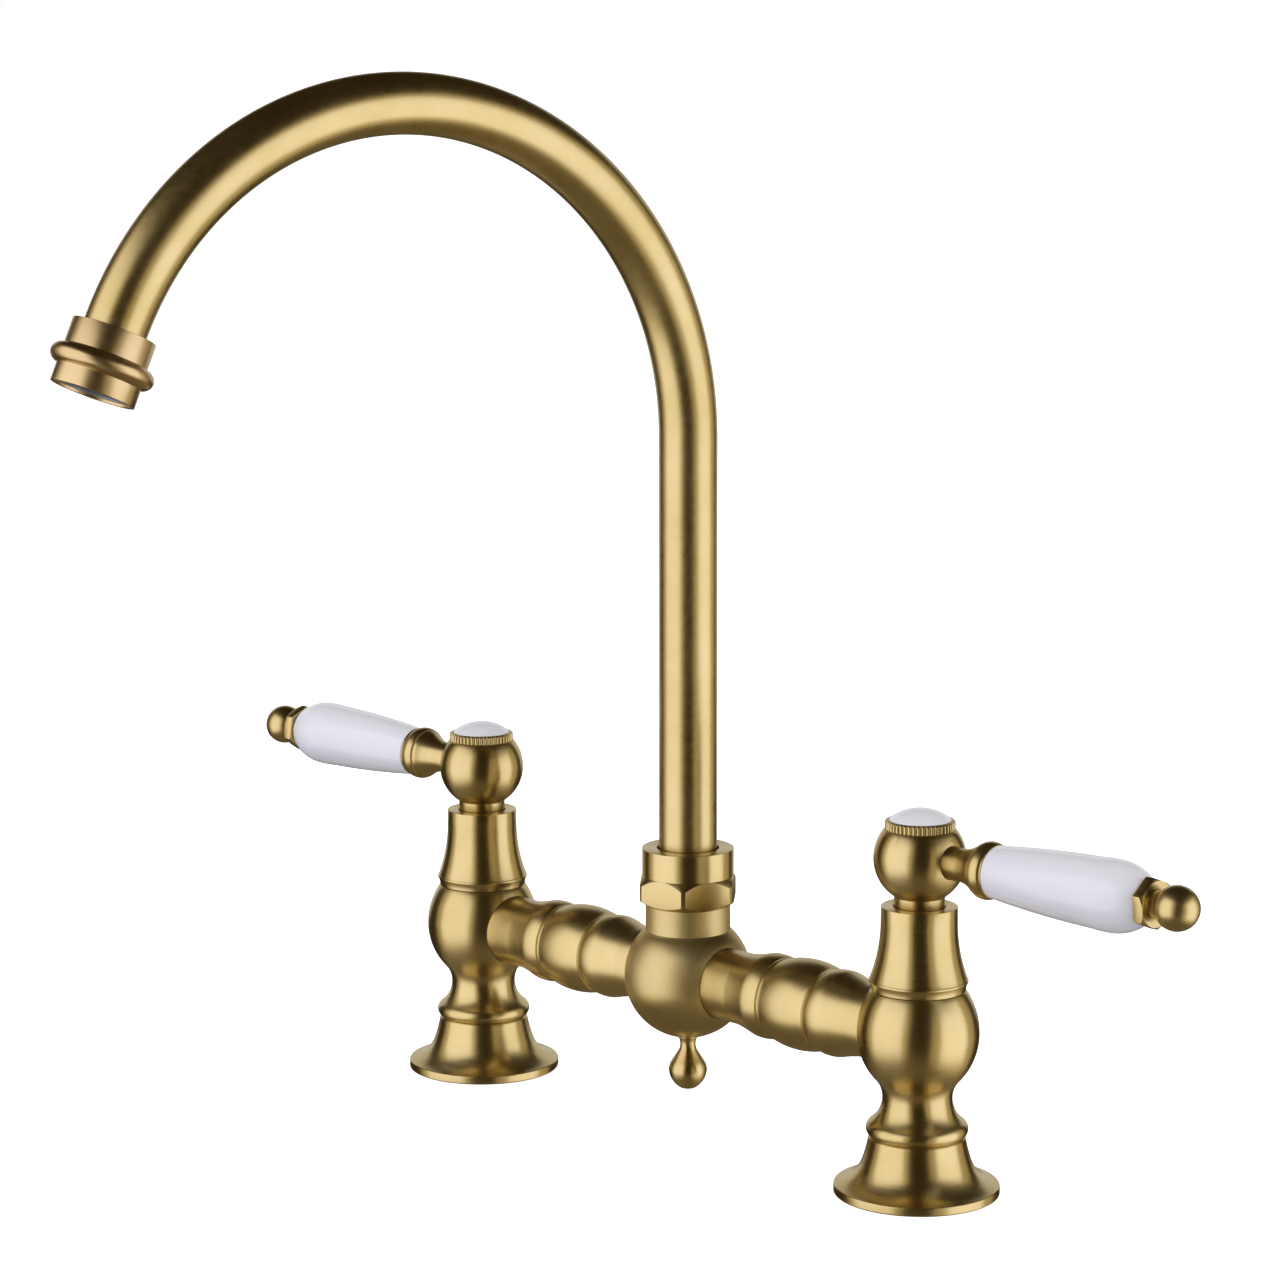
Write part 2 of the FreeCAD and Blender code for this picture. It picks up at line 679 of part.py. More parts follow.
def spout_bush():
    """Turning bush under the spout tube, grooved for two seals."""
    corners = [
        ("bush_waterway / 2", bush_foot),
        (bush_radius, bush_foot),
    ]
    for number in ("0", "1"):
        low = bush_foot + " + seal_offset + %s * seal_pitch" % number
        high = low + " + seal_section + 4 * seat_gap"
        corners += [(bush_radius, low), (seal_groove, low), (seal_groove, high)]
        corners += [(bush_radius, high)]
    corners += [
        (bush_radius, spigot_top + " + running_gap"),
        ("hub_spigot_diameter / 2", spigot_top + " + running_gap"),
        ("hub_spigot_diameter / 2", bush_top),
        ("tube_diameter / 2 + seat_gap", bush_top),
        ("tube_diameter / 2 + seat_gap", tube_foot + " - seat_gap"),
        ("bush_waterway / 2", tube_foot + " - seat_gap"),
    ]
    place(turned("spout_bush", corners), yaw=spout_yaw)


def spout_seal(label, number):
    """O-ring between the bush and the hub socket."""
    ring = doc.addObject("Part::Torus", label)
    ring.Label = label
    ring.setExpression("Radius1", bound(seal_groove + " + seat_gap + seal_section / 2"))
    ring.setExpression("Radius2", bound("seal_section / 2"))
    height = bush_foot + " + seal_offset + %s * seal_pitch" % number
    middle = height + " + seal_section / 2 + 2 * seat_gap"
    ring.setExpression("Placement.Base.z", bound(middle))
    sub_parts.append(ring)


def on_arch(turn, tail):
    """Reach and height of a point of the arch, turned up to turn and then on to tail."""
    reach = "arch_radius * (1 - cos(%s))" % turn
    height = "arch_start + arch_radius * sin(%s)" % turn
    if tail:
        reach += " + arch_tail_radius * (cos(%s) - cos(%s))" % (turn, tail)
        height += " + arch_tail_radius * (sin(%s) - sin(%s))" % (tail, turn)
    return "(" + reach + ")", "(" + height + ")"


outlet_across, outlet_up = on_arch("arch_turn", "arch_sweep")


def spout_tube():
    """Hollow riser and arch, swept along one path; the arch tightens towards the outlet."""
    body = doc.addObject("PartDesign::Body", "spout_tube")
    body.Label = "spout_tube"
    section = new_sketch(body, "tube_section", "XY_Plane", tube_foot)
    circle(section, "tube_diameter")
    circle(section, "tube_diameter - 2 * tube_wall")
    path = new_sketch(body, "tube_path", "XZ_Plane")
    texts = [("0", tube_foot), ("0", "arch_start"), on_arch("arch_turn", ""),
             (outlet_across, outlet_up),
             (outlet_across + " + tube_insertion * sin(arch_sweep)",
              outlet_up + " + tube_insertion * cos(arch_sweep)")]
    spots = [FreeCAD.Vector(value(across), value(up), 0) for across, up in texts]
    crown = [FreeCAD.Vector(value(across), value(up), 0) for across, up in
             (on_arch("(arch_turn / 2)", ""),
              on_arch("arch_turn", "((arch_turn + arch_sweep) / 2)"))]
    path.addGeometry(Part.LineSegment(spots[0], spots[1]))
    path.addGeometry(Part.Arc(spots[2], crown[0], spots[1]))
    path.addGeometry(Part.Arc(spots[3], crown[1], spots[2]))
    path.addGeometry(Part.LineSegment(spots[3], spots[4]))
    rise_end, turn_end = way_ends(path.Geometry[1], spots[1])
    turn_start, fall_end = way_ends(path.Geometry[2], spots[2])
    path.addConstraint(Sketcher.Constraint("Coincident", 0, 2, 1, rise_end))
    path.addConstraint(Sketcher.Constraint("Coincident", 1, turn_end, 2, turn_start))
    path.addConstraint(Sketcher.Constraint("Coincident", 2, fall_end, 3, 1))
    pin_point(path, 0, 1, *texts[0])
    pin_point(path, 0, 2, *texts[1])
    pin_point(path, 1, turn_end, *texts[2])
    pin_point(path, 3, 1, *texts[3])
    pin_point(path, 3, 2, *texts[4])
    bind(path, "Radius", (1,), "arch_radius")
    bind(path, "Radius", (2,), "arch_tail_radius")
    doc.recompute()
    sweep = body.newObject("PartDesign::AdditivePipe", "tube_sweep")
    sweep.Profile = section
    sweep.Spine = (path, ["Edge1", "Edge2", "Edge3", "Edge4"])
    sub_parts.append(body)
    place(body, yaw=spout_yaw)


def at_outlet(body, along="0"):
    """Place a piece turned about Z on the outlet axis, its Z pointing down the stream."""
    reach = "(" + outlet_across + " + (%s) * sin(arch_sweep))" % along
    height = outlet_up + " + (%s) * cos(arch_sweep)" % along
    across = reach + " * cos(90 + spout_swing)"
    sideways = "-" + reach + " * sin(90 + spout_swing)"
    place(body, across, sideways, height, spout_yaw, "arch_sweep")


bead_foot = "sleeve_length"
bead_end = "(sleeve_length + outlet_bead_height)"
collar_end = "(sleeve_length + outlet_bead_height + lip_length)"
washer_foot = "(aerator_shoulder + seat_gap)"
housing_foot = "(aerator_shoulder + aerator_washer_height + 2 * seat_gap)"
housing_end = "(" + collar_end + " - aerator_recess)"
housing_radius = "(aerator_bore / 2 - seat_gap)"


def outlet_collar():
    """Beaded sleeve on the end of the tube, bored for the aerator."""
    collar = turned("outlet_collar", [
        ("tube_diameter / 2 + seat_gap", "0"),
        ("sleeve_diameter / 2 - edge_break", "0"),
        ("sleeve_diameter / 2", "edge_break"),
        ("sleeve_diameter / 2", bead_foot),
        ("outlet_bead_diameter / 2", bead_foot + " + outlet_bead_height / 2",
         "outlet_bead_round", 1),
        ("lip_diameter / 2", bead_end, "outlet_bead_round", 1),
        ("lip_diameter / 2", collar_end + " - edge_break"),
        ("lip_diameter / 2 - edge_break", collar_end),
        ("aerator_bore / 2", collar_end),
        ("aerator_bore / 2", "aerator_shoulder"),
        ("outlet_throat / 2", "aerator_shoulder"),
        ("outlet_throat / 2", "tube_insertion + seat_gap"),
        ("tube_diameter / 2 + seat_gap", "tube_insertion + seat_gap"),
    ])
    at_outlet(collar)


def aerator_washer():
    """Flat rubber ring above the aerator."""
    washer = turned("aerator_washer", [
        ("aerator_washer_bore / 2", washer_foot),
        (housing_radius, washer_foot),
        (housing_radius, washer_foot + " + aerator_washer_height"),
        ("aerator_washer_bore / 2", washer_foot + " + aerator_washer_height"),
    ])
    at_outlet(washer)


def aerator_housing():
    """Threaded shell of the aerator with an inward lip at the mouth."""
    shell = turned("aerator_housing", [
        (housing_radius + " - aerator_wall", housing_foot),
        (housing_radius, housing_foot),
        (housing_radius, housing_end),
        (housing_radius + " - aerator_wall - aerator_lip", housing_end),
        (housing_radius + " - aerator_wall - aerator_lip",
         housing_end + " - aerator_lip_height"),
        (housing_radius + " - aerator_wall", housing_end + " - aerator_lip_height"),
    ])
    at_outlet(shell)


def aerator_insert():
    """Flow former: a plate with concentric fins, slotted through between three ribs."""
    rim = "(" + housing_radius + " - aerator_wall - seat_gap)"
    low = "(" + housing_end + " - aerator_lip_height - seat_gap)"
    plate = "(" + low + " - aerator_fin_depth)"
    corners = [("0", plate + " - aerator_plate"), (rim, plate + " - aerator_plate"), (rim, low)]
    corners += [(rim + " - aerator_fin", low), (rim + " - aerator_fin", plate)]
    for number in ("3", "2", "1"):
        centre = number + " * aerator_fin_pitch"
        outer = centre + " + aerator_fin / 2"
        inner = centre + " - aerator_fin / 2"
        corners += [(outer, plate), (outer, low), (inner, low), (inner, plate)]
    corners += [("aerator_fin", plate), ("aerator_fin", low), ("0", low)]
    insert = turned("aerator_insert", corners)
    slots = new_sketch(insert, "aerator_slot_sketch", "XY_Plane", plate + " - aerator_plate - 1")
    for number in ("2", "3", "4"):
        radius = number + " * aerator_fin_pitch - aerator_fin_pitch / 2"
        circle(slots, "aerator_rib", radius)
    holes = cut(insert, "aerator_holes", slots, "aerator_plate + 1.5")
    pattern = insert.newObject("PartDesign::PolarPattern", "aerator_hole_rings")
    pattern.Originals = [holes]
    pattern.Axis = (slots, ["N_Axis"])
    pattern.Angle = 360
    pattern.Occurrences = 8
    insert.Tip = pattern
    at_outlet(insert)


def handle_hub(side):
    """Ball on a neck, bored for the spindle, the screw, the index cap and the lever."""
    radius = "handle_ball_diameter / 2"
    ball_foot = "sqrt(pow(%s; 2) - pow(handle_neck_diameter / 2; 2))" % radius
    flat_reach = "sqrt(pow(%s; 2) - pow(handle_flat_rise; 2))" % radius
    foot = "(-handle_rise - handle_neck_depth)"
    web = "(screw_floor - screw_web)"
    ball = turned(side + "_handle_hub", [
        ("spindle_diameter / 2 + seat_gap", foot),
        ("handle_neck_diameter / 2", foot),
        ("handle_neck_diameter / 2", "-" + ball_foot),
        (radius, "0", radius, 1),
        (flat_reach, "handle_flat_rise", radius, 1),
        ("cap_bore / 2", "handle_flat_rise"),
        ("cap_bore / 2", "handle_flat_rise - cap_bore_depth"),
        ("screw_bore / 2", "handle_flat_rise - cap_bore_depth"),
        ("screw_bore / 2", "screw_floor"),
        ("screw_diameter / 2 + seat_gap", "screw_floor"),
        ("screw_diameter / 2 + seat_gap", web),
        ("spindle_diameter / 2 + seat_gap", web),
    ])
    rest = "stem_start * sin(lever_rise) + lever_lift * cos(lever_rise)"
    socket = new_sketch(ball, side + "_stem_socket_sketch", "YZ_Plane", "stem_start",
                        tilt="-lever_rise")
    circle(socket, "stem_diameter + 2 * seat_gap", "0", rest)
    cut(ball, side + "_stem_socket", socket, radius)
    tip = "(stem_start - stem_spigot_length - seat_gap)"
    hole = new_sketch(ball, side + "_stem_hole_sketch", "YZ_Plane", tip, tilt="-lever_rise")
    circle(hole, "stem_spigot_diameter + 2 * seat_gap", "0",
           tip + " * sin(lever_rise) + lever_lift * cos(lever_rise)")
    cut(ball, side + "_stem_hole", hole, radius)
    place(ball, column_offset[side], up=handle_centre, yaw=lever_yaw[side])


def handle_screw(side):
    """Cap screw that pulls the handle down on the spindle."""
    screw = turned(side + "_handle_screw", [
        ("0", "screw_floor - screw_length"),
        ("screw_diameter / 2 - edge_break", "screw_floor - screw_length"),
        ("screw_diameter / 2", "screw_floor - screw_length + edge_break"),
        ("screw_diameter / 2", "screw_floor + seat_gap"),
        ("screw_head_diameter / 2", "screw_floor + seat_gap"),
        ("screw_head_diameter / 2", "screw_floor + screw_head_height"),
        ("0", "screw_floor + screw_head_height"),
    ])
    socket = new_sketch(screw, side + "_screw_socket_sketch", "XY_Plane",
                        "screw_floor + screw_head_height - screw_socket_depth")
    hexagon(socket, "screw_socket")
    cut(screw, side + "_screw_socket", socket, "screw_socket_depth + 1")
    place(screw, column_offset[side], up=handle_centre, yaw=lever_yaw[side])


def index_ring(side):
    """Fluted ring that plugs into the handle ball, its sloping crown round the index disc."""
    groove_top = "handle_flat_rise + cap_rim_height + cap_groove_height"
    ring = turned(side + "_index_ring", [
        ("cap_opening / 2", "handle_flat_rise - cap_bore_depth + seat_gap"),
        ("cap_bore / 2 - seat_gap", "handle_flat_rise - cap_bore_depth + seat_gap"),
        ("cap_bore / 2 - seat_gap", "handle_flat_rise + seat_gap"),
        ("cap_diameter / 2", "handle_flat_rise + seat_gap"),
        ("cap_diameter / 2", "handle_flat_rise + cap_rim_height"),
        ("cap_diameter / 2 - cap_groove_depth", "handle_flat_rise + cap_rim_height"),
        ("cap_diameter / 2 - cap_groove_depth", groove_top),
        ("cap_diameter / 2 - cap_crown_setback", groove_top),
        ("disc_diameter / 2 + seat_gap + edge_break", "handle_flat_rise + cap_crown_height"),
        ("disc_diameter / 2 + seat_gap", "handle_flat_rise + cap_crown_height - edge_break"),
        ("disc_diameter / 2 + seat_gap", "handle_flat_rise + disc_floor"),
        ("cap_opening / 2", "handle_flat_rise + disc_floor"),
    ])
    flute = new_sketch(ring, side + "_flute_sketch", "XY_Plane", "handle_flat_rise")
    circle(flute, "flute_width", "cap_diameter / 2 + flute_width / 2 - flute_depth")
    first = cut(ring, side + "_flute", flute, "cap_rim_height + cap_groove_height / 2")
    pattern = ring.newObject("PartDesign::PolarPattern", side + "_flutes")
    pattern.Originals = [first]
    pattern.Axis = (flute, ["N_Axis"])
    pattern.Angle = 360
    pattern.setExpression("Occurrences", bound("flute_count"))
    ring.Tip = pattern
    place(ring, column_offset[side], up=handle_centre, yaw=lever_yaw[side])


def index_disc(side):
    """Domed white button in the index ring."""
    rise = "(disc_crown - disc_edge_rise)"
    dome = "(pow(disc_diameter / 2; 2) + pow(%s; 2)) / (2 * %s)" % (rise, rise)
    disc = turned(side + "_index_disc", [
        ("0", "handle_flat_rise + disc_floor + seat_gap"),
        ("disc_diameter / 2", "handle_flat_rise + disc_floor + seat_gap"),
        ("disc_diameter / 2", "handle_flat_rise + disc_edge_rise"),
        ("0", "handle_flat_rise + disc_crown", dome, 1),
    ])
    place(disc, column_offset[side], up=handle_centre, yaw=lever_yaw[side])


# Places along a lever, out from the centre of the handle ball.
flare_end = "(stem_start + stem_length + ferrule_flare_length)"
ferrule_bead_end = "(stem_start + stem_length + ferrule_flare_length + ferrule_bead_length)"
ferrule_end = "(" + ferrule_bead_end + " + ferrule_rim_length)"
grip_root = "(" + ferrule_end + " + seat_gap)"
grip_end = "(" + grip_root + " + grip_length)"
nut_start = "(" + grip_end + " + seat_gap)"
nut_end = "(" + nut_start + " + lever_nut_length)"
finial_start = "(" + nut_end + " + seat_gap)"
rod_end = "(" + finial_start + " + rod_engagement)"


def along_lever(body, side):
    """Lay a turned lever piece on the lever's axis, its foot at the handle ball."""
    place(body, column_offset[side], up=handle_centre + " + lever_lift",
          yaw=lever_yaw[side], pitch="90 - lever_rise")


def lever_ferrule(side):
    """Stem and beaded collar between the ball and the grip."""
    start = "(stem_start + seat_gap)"
    ferrule = turned(side + "_lever_ferrule", [
        ("0", start + " - stem_spigot_length"),
        ("stem_spigot_diameter / 2", start + " - stem_spigot_length"),
        ("stem_spigot_diameter / 2", start),
        ("stem_diameter / 2", start),
        ("stem_diameter / 2", "stem_start + stem_length"),
        ("ferrule_flare_diameter / 2", flare_end, "ferrule_flare_round", -1),
        ("ferrule_flare_diameter / 2 - ferrule_groove", flare_end),
        ("ferrule_bead_root_diameter / 2", flare_end + " + ferrule_groove"),
        ("ferrule_bead_root_diameter / 2", ferrule_bead_end, "ferrule_bead_round", 1),
        ("ferrule_rim_diameter / 2 - ferrule_groove", ferrule_bead_end + " + ferrule_groove"),
        ("ferrule_rim_diameter / 2", ferrule_bead_end + " + 2 * ferrule_groove"),
        ("ferrule_rim_diameter / 2", ferrule_end),
        ("grip_spigot_diameter / 2 + seat_gap", ferrule_end),
        ("grip_spigot_diameter / 2 + seat_gap", ferrule_end + " - grip_socket_depth"),
        ("rod_diameter / 2 + seat_gap", ferrule_end + " - grip_socket_depth"),
        ("rod_diameter / 2 + seat_gap",
         ferrule_end + " - grip_socket_depth - rod_engagement - seat_gap"),
        ("0", ferrule_end + " - grip_socket_depth - rod_engagement - seat_gap"),
    ])
    along_lever(ferrule, side)


def lever_grip(side):
    """White porcelain grip, widest near its outer end, bored for the rod."""
    grip = turned(side + "_lever_grip", [
        ("grip_bore / 2", grip_root + " - grip_socket_depth"),
        ("grip_spigot_diameter / 2", grip_root + " - grip_socket_depth"),
        ("grip_spigot_diameter / 2", grip_root),
        ("grip_root_diameter / 2 - edge_break", grip_root),
        ("grip_root_diameter / 2", grip_root + " + edge_break"),
        ("grip_side_diameter / 2", grip_root + " + grip_side_length", "grip_side_round", 1),
        ("grip_widest_diameter / 2", grip_root + " + grip_widest_length",
         "grip_crest_round", 1),
        ("grip_shoulder_diameter / 2", grip_root + " + grip_shoulder_length",
         "grip_end_round", 1),
        ("grip_end_diameter / 2", grip_end),
        ("grip_bore / 2", grip_end),
    ])
    along_lever(grip, side)


def lever_rod(side):
    """Threaded rod that ties the finial, the nut and the grip to the ferrule."""
    start = "(" + ferrule_end + " - grip_socket_depth - rod_engagement)"
    rod = turned(side + "_lever_rod", [
        ("0", start),
        ("rod_diameter / 2", start),
        ("rod_diameter / 2", rod_end),
        ("0", rod_end),
    ])
    along_lever(rod, side)


def lever_nut(side):
    """Small hexagon nut that clamps the grip."""
    nut = turned(side + "_lever_nut", [
        ("rod_diameter / 2 + seat_gap", nut_start),
        ("lever_nut_corners / 2", nut_start),
        ("lever_nut_corners / 2", nut_end + " - lever_nut_chamfer"),
        ("lever_nut_flats / 2", nut_end),
        ("rod_diameter / 2 + seat_gap", nut_end),
    ])
    mill_hexagon(nut, side + "_lever_nut_flats", "XY_Plane", "lever_nut_flats",
                 "lever_nut_corners", "lever_nut_length + 2", "lever_nut_turn",
                 nut_start + " - 1")
    along_lever(nut, side)


def lever_finial(side):
    """Ball end of the lever with its short neck."""
    radius = "finial_diameter / 2"
    reach = "sqrt(pow(%s; 2) - pow(finial_neck_diameter / 2; 2))" % radius
    neck_end = "(" + finial_start + " + finial_neck_length)"
    centre = "(" + neck_end + " + " + reach + ")"
    ball = turned(side + "_lever_finial", [
        ("rod_diameter / 2 + seat_gap", finial_start),
        ("finial_neck_diameter / 2", finial_start),
        ("finial_neck_diameter / 2", neck_end),
        (radius, centre, radius, 1),
        ("0", centre + " + " + radius, radius, 1),
        ("0", rod_end + " + seat_gap"),
        ("rod_diameter / 2 + seat_gap", rod_end + " + seat_gap"),
    ])
    along_lever(ball, side)


for hand in ("left", "right"):
    base_flange(hand)
    base_gasket(hand)
    column_body(hand)
    bonnet(hand)
    cartridge(hand)
    spindle(hand)
    arm(hand)
    handle_hub(hand)
    handle_screw(hand)
    index_ring(hand)
    index_disc(hand)
    lever_ferrule(hand)
    lever_grip(hand)
    lever_rod(hand)
    lever_nut(hand)
    lever_finial(hand)
centre_hub()
drip_finial()
swivel_nut()
spout_bush()
spout_seal("lower_spout_seal", "0")
spout_seal("upper_spout_seal", "1")
spout_tube()
outlet_collar()
aerator_washer()
aerator_housing()
aerator_insert()

doc.recompute()
for thing in doc.Objects:
    if "Invalid" in thing.State or "Error" in thing.State:
        raise RuntimeError(thing.Label + " did not compute")
os.makedirs("parts", exist_ok=True)
for piece in sub_parts:
    shape = piece.Shape
    if shape.isNull() or not shape.isValid() or len(shape.Solids) != 1:
        raise RuntimeError(piece.Label + " is not one sound solid")
    shape.exportStep("parts/%s.step" % piece.Label)
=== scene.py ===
import json
import math

import bmesh
import bpy
from mathutils import Matrix, Vector


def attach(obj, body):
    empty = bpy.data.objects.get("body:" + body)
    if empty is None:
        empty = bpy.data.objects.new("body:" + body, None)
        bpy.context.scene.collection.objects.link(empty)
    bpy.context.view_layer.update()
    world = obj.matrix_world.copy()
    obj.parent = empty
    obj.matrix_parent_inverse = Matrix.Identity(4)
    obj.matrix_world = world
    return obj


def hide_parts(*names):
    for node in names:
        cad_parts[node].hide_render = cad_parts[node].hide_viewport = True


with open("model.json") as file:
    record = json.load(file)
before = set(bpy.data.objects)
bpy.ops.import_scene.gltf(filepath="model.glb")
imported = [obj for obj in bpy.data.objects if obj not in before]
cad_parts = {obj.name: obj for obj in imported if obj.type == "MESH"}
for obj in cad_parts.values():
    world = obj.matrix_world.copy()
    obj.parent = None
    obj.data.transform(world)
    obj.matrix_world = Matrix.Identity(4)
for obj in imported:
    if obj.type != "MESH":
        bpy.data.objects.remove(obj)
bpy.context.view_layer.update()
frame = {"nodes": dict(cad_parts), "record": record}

bl_info = {
    "name": "Bridge Kitchen Faucet",
    "version": (1, 0, 0),
    "blender": (4, 5, 0),
    "location": "3D View > Sidebar > Faucet",
    "description": "Dresses a bridge kitchen faucet: turned brass, porcelain levers, studio",
    "category": "Object",
}

MM = 0.001
SIDES = ("left", "right")
UP = Vector((0, 0, 1))

ARC_STEP = math.radians(5)       # widest step along an arc of a section
ARC_CHORD = 1.6                  # longest chord along such an arc, in millimetres
SHARP_TURNED = math.radians(38)  # edges over this stay sharp on turned pieces
SHARP_BORED = math.radians(30)   # and on pieces with bored seats
ARM_TAIL = 11.75 * MM            # radius of the arms' round ends
WATERWAY = 4.5 * MM              # radius of the bore through arms, bulbs and hub
STEM = 5.2 * MM                  # radius of the levers' stems


# ---------------------------------------------------------------- sizes and finishes

def length(title, words, default):
    """A length a user may change, in metres."""
    return bpy.props.FloatProperty(name=title, description=words, default=default * MM,
                                   unit="LENGTH", precision=5)


def colour(title, words, default):
    """A colour a user may change."""
    return bpy.props.FloatVectorProperty(name=title, description=words, default=default,
                                         subtype="COLOR", size=3, min=0, max=1)


class FaucetSizes(bpy.types.PropertyGroup):
    """Sizes that the pieces share."""
    inlet_spacing: length("Inlet spacing", "Between the centres of the columns", 203.2)
    bridge_height: length("Bridge height", "From the deck to the axis of the bridge", 51.4)
    handle_height: length("Handle height", "From the deck to the handle balls", 107.2)
    arch_start: length("Arch start", "Height where the riser starts to bend", 229.8)
    arch_radius: length("Arch radius", "Radius of the arch's centre line", 108.4)
    tail_radius: length("Tail radius", "Radius of the centre line near the outlet", 105.9)
    tube_diameter: length("Tube diameter", "Outside diameter of the spout tube", 19.0)
    edge_softness: length("Edge softness", "Width of the break on every turned edge", 0.16)
    joint_gap: length("Joint gap", "Shadow gap round the arms and stems", 0.12)


class FaucetFinish(bpy.types.PropertyGroup):
    """Colours of the finishes."""
    gold: colour("Gold", "Lit tone of the satin brass", (0.64, 0.497, 0.215))
    umber: colour("Umber", "Darker tone where the lacquer pools", (0.56, 0.422, 0.160))
    glaze: colour("Glaze", "White of the porcelain", (0.60, 0.592, 0.612))
    rubber: colour("Rubber", "Seals and gaskets", (0.018, 0.018, 0.018))
    steel: colour("Steel", "Screws and rods", (0.56, 0.55, 0.53))
    former: colour("Flow former", "Moulding in the outlet", (0.20, 0.20, 0.205))


# ---------------------------------------------------------------- turned shapes

class Section:
    """Half section of a turned piece: corners and bows, in millimetres."""

    def __init__(self, radius, height):
        self.points = [(radius, height)]

    def to(self, radius, height):
        """Straight run to the next corner."""
        self.points.append((radius, height))
        return self

    def bow(self, radius, height, bend, side=1):
        """Arc to the next corner, bulging outward (1) or inward (-1) on the way up."""
        start = Vector(self.points[-1])
        chord = Vector((radius, height)) - start
        half = chord.length / 2
        right = Vector((chord.y, -chord.x)).normalized() * side
        reach = math.sqrt(max(bend * bend - half * half, 0))
        centre = start + chord / 2 - right * reach
        sweep = 2 * math.asin(min(half / bend, 1))
        count = max(3, math.ceil(sweep / ARC_STEP), math.ceil(sweep * bend / ARC_CHORD))
        first = start - centre
        for step in range(1, count + 1):
            turn = side * sweep * step / count
            spoke = Matrix.Rotation(turn, 2) @ first
            self.points.append(tuple(centre + spoke))
        return self


def spun(section, steps=128):
    """Turn a closed half section about Z into a solid."""
    bm = bmesh.new()
    spots = [bm.verts.new((radius * MM, 0, height * MM)) for radius, height in section.points]
    for index, spot in enumerate(spots):
        after = spots[(index + 1) % len(spots)]
        on_axis = abs(spot.co.x) < 1e-7 and abs(after.co.x) < 1e-7
        if not on_axis:
            bm.edges.new((spot, after))
    bmesh.ops.spin(bm, geom=bm.verts[:] + bm.edges[:], cent=(0, 0, 0), axis=UP,
                   angle=2 * math.pi, steps=steps, use_merge=True)
    bmesh.ops.remove_doubles(bm, verts=bm.verts[:], dist=1e-6)
    bmesh.ops.recalc_face_normals(bm, faces=bm.faces[:])
    return bm


def soften(bm, width, limit=25):
    """Break the edges over limit degrees, then shade smooth between what is still hard."""
    hard = [edge for edge in bm.edges
            if len(edge.link_faces) == 2 and edge.calc_face_angle(0) > math.radians(limit)]
    if width > 0 and hard:
        bmesh.ops.bevel(bm, geom=hard, offset=width, offset_type="OFFSET",
                        segments=2, profile=0.5, affect="EDGES", material=-1,
                        clamp_overlap=True)
    for face in bm.faces:
        face.smooth = True
    for edge in bm.edges:
        edge.smooth = edge.calc_face_angle(0) < SHARP_TURNED


def piece(name, bm, place, body, nodes, material):
    """Turn a bmesh into a piece that rides on a body and stands for CAD nodes."""
    bm.transform(place)
    mesh = bpy.data.meshes.new(name)
    bm.to_mesh(mesh)
    bm.free()
    item = bpy.data.objects.new(name, mesh)
    bpy.context.scene.collection.objects.link(item)
    mesh.materials.append(material)
    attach(item, body)
    if nodes:
        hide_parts(*nodes)
    return item


def flats(bm, across, turn):
    """Mill six flats into turned stock whose axis is Z."""
    for step in range(6):
        angle = math.radians(turn + 30 + 60 * step)
        outward = Vector((math.cos(angle), math.sin(angle), 0))
        cut = bmesh.ops.bisect_plane(bm, geom=bm.verts[:] + bm.edges[:] + bm.faces[:],
                                     dist=1e-7, plane_co=outward * across / 2 * MM,
                                     plane_no=outward, clear_outer=True)
        rim = [item for item in cut["geom_cut"] if isinstance(item, bmesh.types.BMEdge)]
        bmesh.ops.edgeloop_fill(bm, edges=rim)
    bmesh.ops.recalc_face_normals(bm, faces=bm.faces[:])


def bored(item, holes):
    """Sink round seats into a piece: each (place matrix, radius, depth), in metres."""
    for place, radius, depth in holes:
        bm = bmesh.new()
        bmesh.ops.create_cone(bm, cap_ends=True, segments=96, radius1=radius,
                              radius2=radius, depth=depth)
        bm.transform(place @ Matrix.Translation((0, 0, depth / 2)))
        mesh = bpy.data.meshes.new("cutter")
        bm.to_mesh(mesh)
        bm.free()
        cutter = bpy.data.objects.new("cutter", mesh)
        bpy.context.scene.collection.objects.link(cutter)
        boolean = item.modifiers.new("seat", "BOOLEAN")
        boolean.operation = "DIFFERENCE"
        boolean.solver = "EXACT"
        boolean.object = cutter
        shaped = bpy.data.meshes.new_from_object(
            item.evaluated_get(bpy.context.evaluated_depsgraph_get()))
        item.modifiers.clear()
        worn = item.data
        item.data = shaped
        shaped.name = worn.name
        bpy.data.meshes.remove(worn)
        bpy.data.objects.remove(cutter)
        bpy.data.meshes.remove(mesh)
    bm = bmesh.new()
    bm.from_mesh(item.data)
    bmesh.ops.recalc_face_normals(bm, faces=bm.faces[:])
    for face in bm.faces:
        face.smooth = True
    for edge in bm.edges:
        edge.smooth = edge.calc_face_angle(0) < SHARP_BORED
    bm.to_mesh(item.data)
    bm.free()


# ---------------------------------------------------------------- places

def sizes():
    """The size properties of the scene."""
    return bpy.context.scene.faucet_sizes


def finish():
    """The finish properties of the scene."""
    return bpy.context.scene.faucet_finish


def column(side, height=0.0):
    """Place on the axis of one column."""
    offset = sizes().inlet_spacing / 2 * (1 if side == "right" else -1)
    return Matrix.Translation((offset, 0, height))


LEVER_YAW = {"left": 180 + 3.1, "right": -1.4}  # degrees, seen from above
LEVER_RISE = 0.8                                # degrees above the level
LEVER_LIFT = 0.3 * MM                           # of the lever's axis over the ball's centre


def lever(side):
    """Place along one lever: Z runs outward from the centre of the handle ball."""
    yaw = Matrix.Rotation(math.radians(LEVER_YAW[side]), 4, "Z")
    lay = Matrix.Rotation(math.radians(90 - LEVER_RISE), 4, "Y")
    return column(side, sizes().handle_height + LEVER_LIFT) @ yaw @ lay


